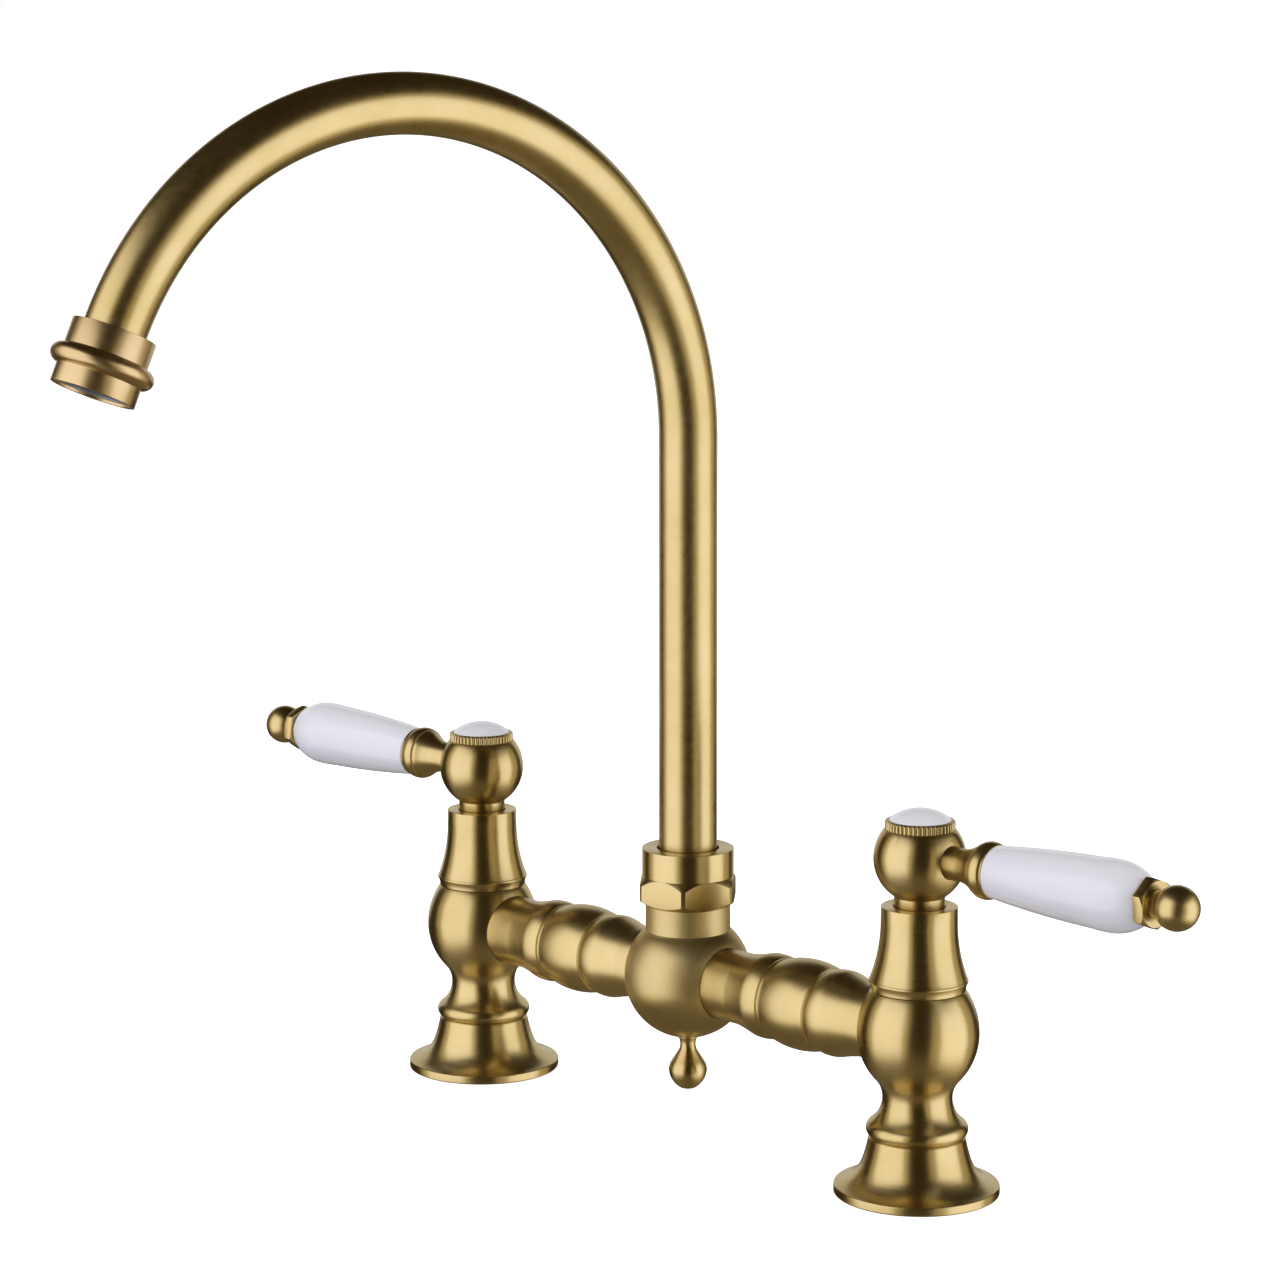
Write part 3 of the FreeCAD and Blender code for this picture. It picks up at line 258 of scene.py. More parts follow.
SPOUT_SWING = 8.4                 # degrees that the spout stands off straight ahead
SPOUT_FOOT = 73.6 * MM            # height of the tube's lower end
OUTLET_SEAT = 8 * MM              # run of tube inside the outlet collar
TUBE_WALL = 1.0 * MM
ARCH_TURN = math.radians(110)     # angle of the first bend
ARCH_SWEEP = math.radians(156.5)  # angle of both bends together
ARCH_STEPS = (100, 44)            # steps along each bend


def spout_plane():
    """Place whose X axis points along the spout, seen from above."""
    return Matrix.Rotation(math.radians(-90 - SPOUT_SWING), 4, "Z")


def arch_pivots():
    """Centres of the arch's two bends, seen in the plane of the spout."""
    size = sizes()
    first = Vector((size.arch_radius, 0, size.arch_start))
    inward = Vector((-math.cos(ARCH_TURN), 0, math.sin(ARCH_TURN)))
    return first, first + inward * (size.arch_radius - size.tail_radius)


def outlet():
    """Place at the start of the outlet collar, Z pointing down the stream."""
    spoke = Vector((-math.cos(ARCH_SWEEP), 0, math.sin(ARCH_SWEEP)))
    end = arch_pivots()[1] + spoke * sizes().tail_radius
    return (spout_plane() @ Matrix.Translation(end)
            @ Matrix.Rotation(ARCH_SWEEP, 4, "Y"))


# ---------------------------------------------------------------- materials

class Wire:
    """A shader socket that takes part in arithmetic."""

    def __init__(self, recipe, socket):
        self.recipe = recipe
        self.socket = socket

    def math(self, operation, *others):
        """Add one Math node."""
        return self.recipe.node("ShaderNodeMath", {"operation": operation},
                                **{str(index): other
                                   for index, other in enumerate((self,) + others)})

    def __add__(self, other):
        return self.math("ADD", other)

    __radd__ = __add__

    def __mul__(self, other):
        return self.math("MULTIPLY", other)

    __rmul__ = __mul__

    def __sub__(self, other):
        return self.math("SUBTRACT", other)

    def __rsub__(self, other):
        return self.recipe.node("ShaderNodeMath", {"operation": "SUBTRACT"},
                                **{"0": other, "1": self})


class Recipe:
    """A node material under construction."""

    def __init__(self, name):
        self.material = bpy.data.materials.new(name)
        self.material.use_nodes = True
        self.tree = self.material.node_tree
        self.tree.nodes.clear()

    def node(self, kind, settings=None, out=0, **inputs):
        """One node: its type, its settings, then the values or links of its sockets."""
        made = self.tree.nodes.new(kind)
        for key, value in (settings or {}).items():
            if key == "stops":
                self.lay_stops(made.color_ramp, value)
            else:
                setattr(made, key, value)
        for key, value in inputs.items():
            socket = made.inputs[int(key)] if key.isdigit() else made.inputs[key]
            if isinstance(value, Wire):
                self.tree.links.new(value.socket, socket)
            elif socket.type == "RGBA":
                socket.default_value = (*value, 1)[:4]
            else:
                socket.default_value = value
        return Wire(self, made.outputs[out])

    @staticmethod
    def lay_stops(ramp, stops):
        """Fill a colour ramp with (place, grey) stops."""
        while len(ramp.elements) < len(stops):
            ramp.elements.new(0.5)
        for element, (place, grey) in zip(ramp.elements, stops):
            element.position = place
            element.color = (grey, grey, grey, 1)

    def coordinates(self):
        """Coordinates of the finished model, in metres."""
        return self.node("ShaderNodeTexCoord", out=3)

    def stretched(self, scale):
        """Object coordinates scaled by axis, for grain that runs one way."""
        return self.node("ShaderNodeMapping", Vector=self.coordinates(), Scale=scale)

    def noise(self, vector, scale, detail=3.0, roughness=0.55):
        """Soft random field between 0 and 1."""
        return self.node("ShaderNodeTexNoise", Vector=vector, Scale=scale, Detail=detail,
                         Roughness=roughness)

    def blend(self, factor, first, second):
        """Mix two colours."""
        return self.node("ShaderNodeMix", {"data_type": "RGBA"}, out=2,
                         **{"0": factor, "6": first, "7": second})

    def ramp(self, factor, *stops):
        """Reshape a field through a colour ramp of (place, grey) stops."""
        return self.node("ShaderNodeValToRGB", {"stops": stops}, Fac=factor)

    def bump(self, height, strength, distance):
        """Normal with small relief."""
        return self.node("ShaderNodeBump", Height=height, Strength=strength,
                         Distance=distance)

    def surface(self, **inputs):
        """Finish with a Principled surface."""
        return self.close(self.node("ShaderNodeBsdfPrincipled", **inputs))

    def close(self, shader):
        """Join a shader to the output."""
        target = self.tree.nodes.new("ShaderNodeOutputMaterial")
        self.tree.links.new(shader.socket, target.inputs["Surface"])
        return self.material


# Scale of the grain along each axis.
GRAIN = {
    "rings": (70, 70, 2600),
    "streaks": (1900, 1900, 45),
    "bridge": (2600, 70, 70),
    "tube": (420, 420, 420),
}

# Anisotropy, its rotation (0.25 stretches along the meridian) and roughness.
BRUSHING = {
    "rings": (0.7, 0.25, 0.30),
    "streaks": (0.6, 0.0, 0.37),
    "bridge": (0.0, 0.0, 0.32),
    "tube": (0.0, 0.0, 0.30),
}
BLUSH = (0.66, 0.44, 0.26)


def satin_brass(name, grain, blush=0.0):
    """Satin brass under lacquer, with the lathe's fine grain; blush makes it rosier."""
    made = Recipe(name)
    lines = made.noise(made.stretched(GRAIN[grain]), 1.0, 4.0, 0.6)
    cloud = made.noise(made.coordinates(), 55.0, 3.0, 0.5)
    speck = made.noise(made.coordinates(), 1400.0, 2.0, 0.5)
    tone = made.ramp(cloud * 0.65 + lines * 0.35, (0.32, 0.0), (0.62, 1.0))
    metal = made.blend(tone, finish().umber, finish().gold)
    pull, turn, rough = BRUSHING[grain]
    return made.surface(
        **{"Base Color": made.blend(blush, metal, BLUSH),
           "Metallic": 1.0,
           "Roughness": rough + 0.14 * (lines - 0.5) + 0.05 * (cloud - 0.5),
           "Anisotropic": pull,
           "Anisotropic Rotation": turn,
           "Normal": made.bump(lines * 0.8 + speck * 0.2, 0.16, 0.00004),
           "Coat Weight": 0.03,
           "Coat Roughness": 0.2})


def plain_brass():
    """Machined brass inside the valves."""
    made = Recipe("MachinedBrass")
    turning = made.noise(made.stretched((40, 40, 3000)), 1.0, 3.0, 0.5)
    cloud = made.noise(made.coordinates(), 120.0, 2.0, 0.5)
    return made.surface(
        **{"Base Color": made.blend(cloud, (0.60, 0.42, 0.17), (0.78, 0.60, 0.30)),
           "Metallic": 1.0,
           "Roughness": 0.30 + 0.12 * (turning - 0.5),
           "Normal": made.bump(turning, 0.15, 0.00005)})


def porcelain():
    """White glazed porcelain, slightly uneven."""
    made = Recipe("Porcelain")
    ripple = made.noise(made.coordinates(), 48.0, 2.0, 0.5)
    pin = made.noise(made.coordinates(), 900.0, 2.0, 0.5)
    pits = made.ramp(pin, (0.70, 0.0), (0.80, 1.0))
    body = made.blend(ripple, finish().glaze, (0.65, 0.643, 0.66))
    return made.surface(
        **{"Base Color": made.blend(pits * 0.15, body, (0.60, 0.58, 0.55)),
           "Roughness": 0.10 + 0.05 * ripple,
           "Specular IOR Level": 0.4,
           "Normal": made.bump(ripple * 0.9 + pin * 0.1, 0.10, 0.0002),
           "Coat Weight": 0.2,
           "Coat Roughness": 0.03})


def rubber():
    """Moulded black rubber."""
    made = Recipe("Rubber")
    bloom = made.noise(made.coordinates(), 260.0, 4.0, 0.6)
    return made.surface(
        **{"Base Color": made.blend(bloom, finish().rubber, (0.045, 0.044, 0.043)),
           "Roughness": 0.62 + 0.2 * bloom,
           "Normal": made.bump(bloom, 0.2, 0.0001)})


def steel():
    """Zinc plated steel."""
    made = Recipe("PlatedSteel")
    grain = made.noise(made.coordinates(), 700.0, 3.0, 0.6)
    return made.surface(
        **{"Base Color": made.blend(grain, finish().steel, (0.72, 0.72, 0.72)),
           "Metallic": 1.0,
           "Roughness": 0.26 + 0.14 * grain,
           "Normal": made.bump(grain, 0.1, 0.00005)})


def flow_former():
    """Light grey moulding and plated shell in the outlet."""
    made = Recipe("FlowFormer")
    haze = made.noise(made.coordinates(), 500.0, 3.0, 0.6)
    return made.surface(
        **{"Base Color": made.blend(haze, finish().former, (0.32, 0.32, 0.32)),
           "Metallic": 0.55,
           "Roughness": 0.30 + 0.15 * haze,
           "Normal": made.bump(haze, 0.1, 0.00005)})


MAKERS = {
    "brass_rings": lambda: satin_brass("SatinBrassRings", "rings"),
    "brass_streaks": lambda: satin_brass("SatinBrassStreaks", "streaks"),
    "brass_bridge": lambda: satin_brass("SatinBrassBridge", "bridge"),
    "brass_tube": lambda: satin_brass("SatinBrassTube", "tube"),
    "brass_blush": lambda: satin_brass("SatinBrassCollar", "tube", 0.35),
    "plain_brass": plain_brass,
    "porcelain": porcelain,
    "rubber": rubber,
    "steel": steel,
    "former": flow_former,
}
SHELF = {}


def material(key):
    """Make each material once."""
    if key not in SHELF:
        SHELF[key] = MAKERS[key]()
    return SHELF[key]


# ---------------------------------------------------------------- operators

class Maker:
    """What all the operators share."""
    bl_options = {"REGISTER", "UNDO"}

    def execute(self, context):
        """Run the step."""
        self.make()
        return {"FINISHED"}


class FAUCET_OT_flanges(Maker, bpy.types.Operator):
    """Bell-shaped base flanges on the deck"""
    bl_idname = "faucet.flanges"
    bl_label = "Base Flanges"

    def make(self):
        """Turn one bell for each column."""
        for side in SIDES:
            bell = (Section(13.05, 0).to(16.95, 0).to(16.95, 2.05).to(21.05, 2.05)
                    .to(21.05, 0).to(25.6, 0).bow(26.05, 0.5, 0.55).to(26.05, 2.5)
                    .bow(25.65, 2.95, 0.45).bow(17.2, 10.3, 10.8, -1)
                    .bow(15.2, 18.05, 45, -1).to(14.75, 18.48).to(13.05, 18.48))
            bm = spun(bell, 160)
            soften(bm, sizes().edge_softness)
            piece("BaseFlange_" + side, bm, column(side), "bridge",
                  [side + "_base_flange"], material("brass_rings"))


class FAUCET_OT_columns(Maker, bpy.types.Operator):
    """Column bodies with bead, waist and bulb"""
    bl_idname = "faucet.columns"
    bl_label = "Column Bodies"

    def make(self):
        """Turn the bodies and seat the arms in their bulbs."""
        size = sizes()
        for side in SIDES:
            body = (Section(9.5, 0).to(13.0, 0).to(13.0, 18.56).to(14.8, 18.56)
                    .bow(15.1, 22.9, 2.75).bow(10.97, 30.8, 9.5, -1)
                    .bow(13.15, 36.5, 8.6, -1).bow(19.14, 51.4, 21.5)
                    .bow(14.86, 65.4, 24.9).to(9.3, 65.5).to(9.3, 44.0).to(6.0, 44.0)
                    .to(6.0, 18.0).to(9.5, 16.0))
            bm = spun(body, 160)
            soften(bm, size.edge_softness)
            item = piece("ColumnBody_" + side, bm, column(side), "bridge",
                         [side + "_column_body"], material("brass_rings"))
            inward = Matrix.Rotation(math.radians(90 if side == "left" else -90), 4, "Y")
            axis = column(side, size.bridge_height) @ inward
            seat = axis @ Matrix.Translation((0, 0, 13.54 * MM))
            bored(item, [(seat, ARM_TAIL + size.joint_gap, 12 * MM),
                         (axis, WATERWAY, 30 * MM)])


class FAUCET_OT_bonnets(Maker, bpy.types.Operator):
    """Flared bonnets over the valves"""
    bl_idname = "faucet.bonnets"
    bl_label = "Bonnets"

    def make(self):
        """Turn one skirt for each column."""
        for side in SIDES:
            skirt = (Section(10.26, 65.58).to(14.75, 65.58).bow(15.5, 68.15, 5.0, -1)
                     .bow(15.3, 68.95, 0.7).bow(11.96, 87.05, 50.7, -1).to(11.96, 91.9)
                     .to(8.2, 91.9).to(8.2, 88.9).to(10.26, 88.9))
            bm = spun(skirt, 160)
            soften(bm, sizes().edge_softness * 1.3)
            piece("Bonnet_" + side, bm, column(side), "bridge",
                  [side + "_bonnet"], material("brass_rings"))


class FAUCET_OT_arms(Maker, bpy.types.Operator):
    """Turned arms of the bridge"""
    bl_idname = "faucet.arms"
    bl_label = "Bridge Arms"

    def make(self):
        """Turn each arm and lay it between its column and the hub."""
        size = sizes()
        for side in SIDES:
            arm = (Section(4.5, -36.28).to(11.35, -36.28).to(11.75, -35.88)
                   .to(11.75, -24.2).bow(13.65, -15.0, 60, -1).bow(13.95, -12.9, 8)
                   .bow(13.4, -8.2, 14.4).to(12.7, -7.95).to(12.7, -7.65)
                   .to(13.5, -7.45).to(13.5, -7.0).to(13.35, -6.85)
                   .bow(14.8, 2.6, 30.5).bow(13.35, 12.05, 30.5).to(13.5, 12.2)
                   .to(13.5, 12.65).to(12.7, 12.85).to(12.7, 13.15)
                   .to(13.4, 13.4).bow(13.95, 18.1, 14.4).bow(13.65, 20.2, 8)
                   .bow(11.75, 29.4, 60, -1).to(11.75, 35.88).to(11.35, 36.28)
                   .to(4.5, 36.28))
            bm = spun(arm, 160)
            soften(bm, size.edge_softness * 0.6)
            middle = 51.73 * MM * (1 if side == "right" else -1)
            place = (Matrix.Translation((middle, 0, size.bridge_height))
                     @ Matrix.Rotation(math.radians(90), 4, "Y"))
            piece("BridgeArm_" + side, bm, place, "bridge",
                  [side + "_arm"], material("brass_bridge"))


class FAUCET_OT_hub(Maker, bpy.types.Operator):
    """Centre hub and the drip finial under it"""
    bl_idname = "faucet.hub"
    bl_label = "Hub and Drip"

    def make(self):
        """Turn the ball with its neck and spigot, then the drip."""
        size = sizes()
        ball = (Section(0, -20.2).to(3.35, -20.2).to(3.35, -20.73).bow(21, 0, 21)
                .bow(14, 15.65, 21).to(14, 24.2).to(12.5, 24.2).to(12.5, 36.2)
                .to(11, 36.2).to(11, 9.5).to(7.5, 9.5).to(7.5, -6.5).to(0, -6.5))
        bm = spun(ball, 160)
        soften(bm, size.edge_softness)
        centre = Matrix.Translation((0, 0, size.bridge_height))
        item = piece("CentreHub", bm, centre, "bridge", ["centre_hub"],
                     material("brass_streaks"))
        holes = []
        for angle in (90, -90):
            axis = centre @ Matrix.Rotation(math.radians(angle), 4, "Y")
            seat = axis @ Matrix.Translation((0, 0, 15.4 * MM))
            holes.append((seat, ARM_TAIL + size.joint_gap, 12 * MM))
            holes.append((axis, WATERWAY, 30 * MM))
        bored(item, holes)
        drip = (Section(0, -17.5).to(2.6, -17.5).bow(6.35, -11.4, 7.8)
                .bow(5.0, -7.7, 6.5).to(2.95, -4.5).bow(3.2, -0.25, 4.7, -1)
                .to(3.2, 0.75).to(0, 0.75))
        bm = spun(drip, 96)
        soften(bm, size.edge_softness, limit=40)
        foot = Matrix.Translation((0, 0, size.bridge_height - 21 * MM))
        piece("DripFinial", bm, foot, "bridge", ["drip_finial"],
              material("brass_rings"))


class FAUCET_OT_nut(Maker, bpy.types.Operator):
    """Swivel nut: round collar and chamfered hexagon"""
    bl_idname = "faucet.nut"
    bl_label = "Swivel Nut"

    def make(self):
        """Turn the stock and mill the flats."""
        stock = (Section(12.55, 0).to(14.2, 0).to(17.1, 2.0).to(17.1, 7.2)
                 .to(15.14, 9.7).to(15.1, 9.7).to(15.1, 18.7).to(10.3, 18.7)
                 .to(10.3, 14.4).to(12.55, 14.4))
        bm = spun(stock, 192)
        flats(bm, 30.3, 9.8)
        soften(bm, sizes().edge_softness * 1.1)
        place = Matrix.Translation((0, 0, sizes().bridge_height + 24.25 * MM))
        piece("SwivelNut", bm, place, "bridge", ["swivel_nut"],
              material("brass_rings"))


class FAUCET_OT_spout(Maker, bpy.types.Operator):
    """Riser and arch of the spout"""
    bl_idname = "faucet.spout"
    bl_label = "Spout Tube"

    def make(self):
        """Sweep the wall of the tube up the riser and round the arch."""
        size = sizes()
        bm = bmesh.new()
        for wall in (0.0, TUBE_WALL):
            loop = bmesh.ops.create_circle(bm, segments=96,
                                           radius=size.tube_diameter / 2 - wall)
            bmesh.ops.translate(bm, verts=loop["verts"], vec=(0, 0, SPOUT_FOOT))
        mouth = bm.edges[:]
        rim = self.drawn(bm, mouth, (0, 0, size.arch_start - SPOUT_FOOT))
        for pivot, turn, steps in zip(arch_pivots(), (ARCH_TURN, ARCH_SWEEP - ARCH_TURN),
                                      ARCH_STEPS):
            bend = bmesh.ops.spin(bm, geom=self.ends(rim), cent=pivot, axis=(0, 1, 0),
                                  angle=turn, steps=steps)
            rim = [part for part in bend["geom_last"]
                   if isinstance(part, bmesh.types.BMEdge)]
        stream = Vector((math.sin(ARCH_SWEEP), 0, math.cos(ARCH_SWEEP)))
        rim = self.drawn(bm, rim, stream * OUTLET_SEAT)
        bmesh.ops.bridge_loops(bm, edges=mouth)
        bmesh.ops.bridge_loops(bm, edges=rim)
        bmesh.ops.remove_doubles(bm, verts=bm.verts[:], dist=1e-7)
        bmesh.ops.recalc_face_normals(bm, faces=bm.faces[:])
        soften(bm, 0)
        piece("SpoutTube", bm, spout_plane(), "spout", ["spout_tube"],
              material("brass_tube"))

    @staticmethod
    def ends(edges):
        """Edges with their vertices, as spin wants them."""
        return list({vert for edge in edges for vert in edge.verts}) + list(edges)

    @staticmethod
    def drawn(bm, edges, step):
        """Draw open loops out by a step and give the new rim."""
        out = bmesh.ops.extrude_edge_only(bm, edges=edges)["geom"]
        verts = [part for part in out if isinstance(part, bmesh.types.BMVert)]
        bmesh.ops.translate(bm, verts=verts, vec=step)
        fresh = set(verts)
        return [part for part in out if isinstance(part, bmesh.types.BMEdge)
                and part.verts[0] in fresh and part.verts[1] in fresh]


class FAUCET_OT_outlet(Maker, bpy.types.Operator):
    """Outlet collar and the aerator in its mouth"""
    bl_idname = "faucet.outlet"
    bl_label = "Outlet"
    former_mouth = 8.95
    ribs_each_side = 5
    rib_pitch = 1.5
    rib_thickness = 0.6
    rib_depth = 3.2
    rib_middle = 15.9

    def make(self):
        """Turn the collar, the aerator's shell and its ribbed flow former."""
        collar = (Section(9.95, 0).to(12.65, 0).to(12.65, 7.7).bow(12.9, 7.95, 0.3, -1)
                  .bow(15.7, 10.9, 3.1).bow(12.95, 13.85, 3.1).bow(12.8, 14.1, 0.3, -1)
                  .to(12.8, 19.6).to(11.3, 19.6).to(11.3, 9.4).to(8.3, 9.4)
                  .to(8.3, 8.05).to(9.6, 8.05).to(9.6, 1.0).to(9.95, 0.9))
        bm = spun(collar, 160)
        soften(bm, sizes().edge_softness)
        piece("OutletCollar", bm, outlet(), "spout", ["outlet_collar"],
              material("brass_blush"))
        shell = (Section(9.85, 10.9).to(11.25, 10.9).to(11.25, 18.8).to(8.95, 18.8)
                 .to(8.95, 17.8).to(9.85, 17.8))
        bm = spun(shell, 128)
        soften(bm, sizes().edge_softness)
        piece("AeratorShell", bm, outlet(), "spout",
              ["aerator_housing"], material("former"))
        former = (Section(0, 13.15).to(9.8, 13.15).to(9.8, 17.75).to(8.9, 17.75)
                  .to(8.9, 14.35).to(0, 14.35))
        bm = spun(former, 96)
        soften(bm, 0.08 * MM)
        for step in range(-self.ribs_each_side, self.ribs_each_side + 1):
            across = step * self.rib_pitch
            long = 2 * math.sqrt(self.former_mouth ** 2 - across ** 2)
            rib = bmesh.ops.create_cube(bm, size=1.0)["verts"]
            bmesh.ops.scale(bm, verts=rib, vec=(long * MM, self.rib_thickness * MM,
                                                self.rib_depth * MM))
            bmesh.ops.translate(bm, verts=rib, vec=(0, across * MM, self.rib_middle * MM))
        piece("FlowFormer", bm, outlet(), "spout",
              ["aerator_insert"], material("former"))


class FAUCET_OT_handles(Maker, bpy.types.Operator):
    """Handle balls on their necks"""
    bl_idname = "faucet.handles"
    bl_label = "Handle Hubs"

    def make(self):
        """Turn the balls and seat the lever stems in them."""
        size = sizes()
        for side in SIDES:
            ball = (Section(4.05, -17.5).to(7.9, -17.5).to(7.9, -12.25)
                    .bow(8.05, -12.0, 0.4, -1).bow(14.45, 0, 14.45)
                    .bow(11.305, 9.0, 14.45).to(8.45, 9.0).to(8.45, 4.8).to(4.1, 4.8)
                    .to(4.1, 1.2).to(2.05, 1.2).to(2.05, -0.8).to(4.05, -0.8))
            bm = spun(ball, 160)
            soften(bm, size.edge_softness)
            item = piece("HandleHub_" + side, bm, column(side, size.handle_height),
                         side + "_handle", [side + "_handle_hub"],
                         material("brass_rings"))
            seat = lever(side) @ Matrix.Translation((0, 0, 12.4 * MM))
            hole = lever(side) @ Matrix.Translation((0, 0, 6.75 * MM))
            bored(item, [(seat, STEM + size.joint_gap, 6 * MM),
                         (hole, 3.0 * MM, 8 * MM)])


class FAUCET_OT_index(Maker, bpy.types.Operator):
    """Fluted index rings and their porcelain discs"""
    bl_idname = "faucet.index"
    bl_label = "Index Caps"
    flutes = 46
    steps_per_flute = 12
    ring_radius = 10.95
    flute_depth = 0.55
    flute_shape = 1.3    # power that rounds the crests
    flute_root = 10.6    # what lies inside this radius isn't pressed
    flute_top = 11.85    # nor what lies above this height

    def make(self):
        """Turn each ring, press in the flutes, then turn the domed disc."""
        size = sizes()
        for side in SIDES:
            ring = (Section(5.0, 4.85).to(8.4, 4.85).to(8.4, 9.05).to(10.65, 9.05)
                    .to(self.ring_radius, 9.3).to(self.ring_radius, 11.55)
                    .to(10.75, 11.8).to(10.5, 11.95).to(9.8, 12.05).to(9.75, 11.6)
                    .to(8.2, 11.6).to(8.2, 10.6).to(5.0, 10.6))
            bm = spun(ring, self.flutes * self.steps_per_flute)
            self.press_flutes(bm)
            soften(bm, 0, limit=60)
            place = column(side, size.handle_height)
            piece("IndexRing_" + side, bm, place, side + "_handle",
                  [side + "_index_ring"], material("brass_tube"))
            disc = (Section(0, 10.65).to(8.1, 10.65).to(8.1, 11.65).to(9.65, 11.65)
                    .to(9.65, 12.2).bow(0, 15.6, 15.4))
            bm = spun(disc, 128)
            soften(bm, size.edge_softness)
            piece("IndexDisc_" + side, bm, place, side + "_handle",
                  [side + "_index_disc"], material("porcelain"))

    def press_flutes(self, bm):
        """Press the valleys of the flutes into the rim."""
        for vert in bm.verts:
            radius = math.hypot(vert.co.x, vert.co.y)
            if radius < self.flute_root * MM or vert.co.z > self.flute_top * MM:
                continue
            angle = math.atan2(vert.co.y, vert.co.x)
            wave = abs(math.sin(angle * self.flutes / 2))
            depth = self.flute_depth * (1 - wave) ** self.flute_shape
            inner = (self.ring_radius - depth) * MM / radius
            shrink = min(1.0, inner)
            vert.co.x *= shrink
            vert.co.y *= shrink


class FAUCET_OT_levers(Maker, bpy.types.Operator):
    """Lever ferrules, porcelain grips, nuts and ball finials"""
    bl_idname = "faucet.levers"
    bl_label = "Levers"

    def make(self):
        """Turn the four pieces of each lever."""
        for side in SIDES:
            self.turn(side, "Ferrule", self.ferrule(), "satin_brass", "lever_ferrule",
                      "brass_bridge", 128)
            self.turn(side, "Grip", self.grip(), "porcelain", "lever_grip",
                      "porcelain", 160)
            self.nut(side)
            self.turn(side, "Finial", self.finial(), "satin_brass", "lever_finial",
                      "brass_bridge", 128)

    @staticmethod
    def turn(side, name, section, slot, node, finish_key, steps):
        """Turn one piece of a lever."""
        bm = spun(section, steps)
        soften(bm, sizes().edge_softness)
        piece(name + "_" + side, bm, lever(side), side + "_handle",
              [side + "_" + node], material(finish_key))

    @staticmethod
    def ferrule():
        """Stem, flare, bead and rim."""
        return (Section(0, 6.85).to(2.95, 6.85).to(2.95, 12.45).to(5.2, 12.45)
                .to(5.2, 18.8).bow(8.2, 26.4, 18, -1).to(7.85, 26.5)
                .to(8.4, 26.75).bow(8.4, 31.1, 4.2).to(7.95, 31.45).to(8.3, 31.8)
                .to(8.3, 32.2).to(7.25, 32.2).to(7.25, 31.2).to(2.55, 31.2)
                .to(2.55, 24.75).to(0, 24.75))

    @staticmethod
    def grip():
        """Porcelain grip, fullest near its outer end."""
        return (Section(2.9, 31.25).to(7.2, 31.25).to(7.2, 32.25).to(7.9, 32.25)
                .bow(8.25, 32.65, 0.5).bow(10.8, 71.75, 420).bow(11.0, 78.45, 65)
                .bow(8.2, 88.0, 17.7).to(5.8, 90.75).to(2.9, 90.75))

    @staticmethod
    def nut(side):
        """Small hexagon behind the ball."""
        stock = (Section(2.55, 90.8).to(7.85, 90.8).to(8.0, 90.95).to(8.0, 93.5)
                 .to(6.95, 94.4).to(2.55, 94.4))
        bm = spun(stock, 144)
        flats(bm, 13.9, 7.5)
        soften(bm, sizes().edge_softness)
        piece("LeverNut_" + side, bm, lever(side), side + "_handle",
              [side + "_lever_nut"], material("brass_tube"))

    @staticmethod
    def finial():
        """Ball on a short neck."""
        return (Section(2.55, 94.45).to(4.5, 94.45).to(4.5, 96.35)
                .bow(4.6, 96.54, 0.4, -1).bow(6.85, 101.615, 6.85)
                .bow(0, 108.465, 6.85).to(0, 100.9).to(2.55, 100.9))


class FAUCET_OT_inner(Maker, bpy.types.Operator):
    """Finishes of the solids that stay: seals, valves, screws and rods"""
    bl_idname = "faucet.inner"
    bl_label = "Inner Pieces"
    finishes = {
        "seal_rubber": "rubber",
        "plain_brass": "plain_brass",
        "steel": "steel",
        "satin_brass": "brass_tube",
        "porcelain": "porcelain",
        "aerator_metal": "steel",
        "aerator_plastic": "former",
    }

    def make(self):
        """Give every CAD node the material of its slot."""
        slots = {part["node"]: part["material_slot"] for part in frame["record"]["subparts"]}
        for node, item in frame["nodes"].items():
            made = material(self.finishes[slots[node]])
            for place in item.material_slots:
                place.material = made
            if not item.material_slots:
                item.data.materials.append(made)


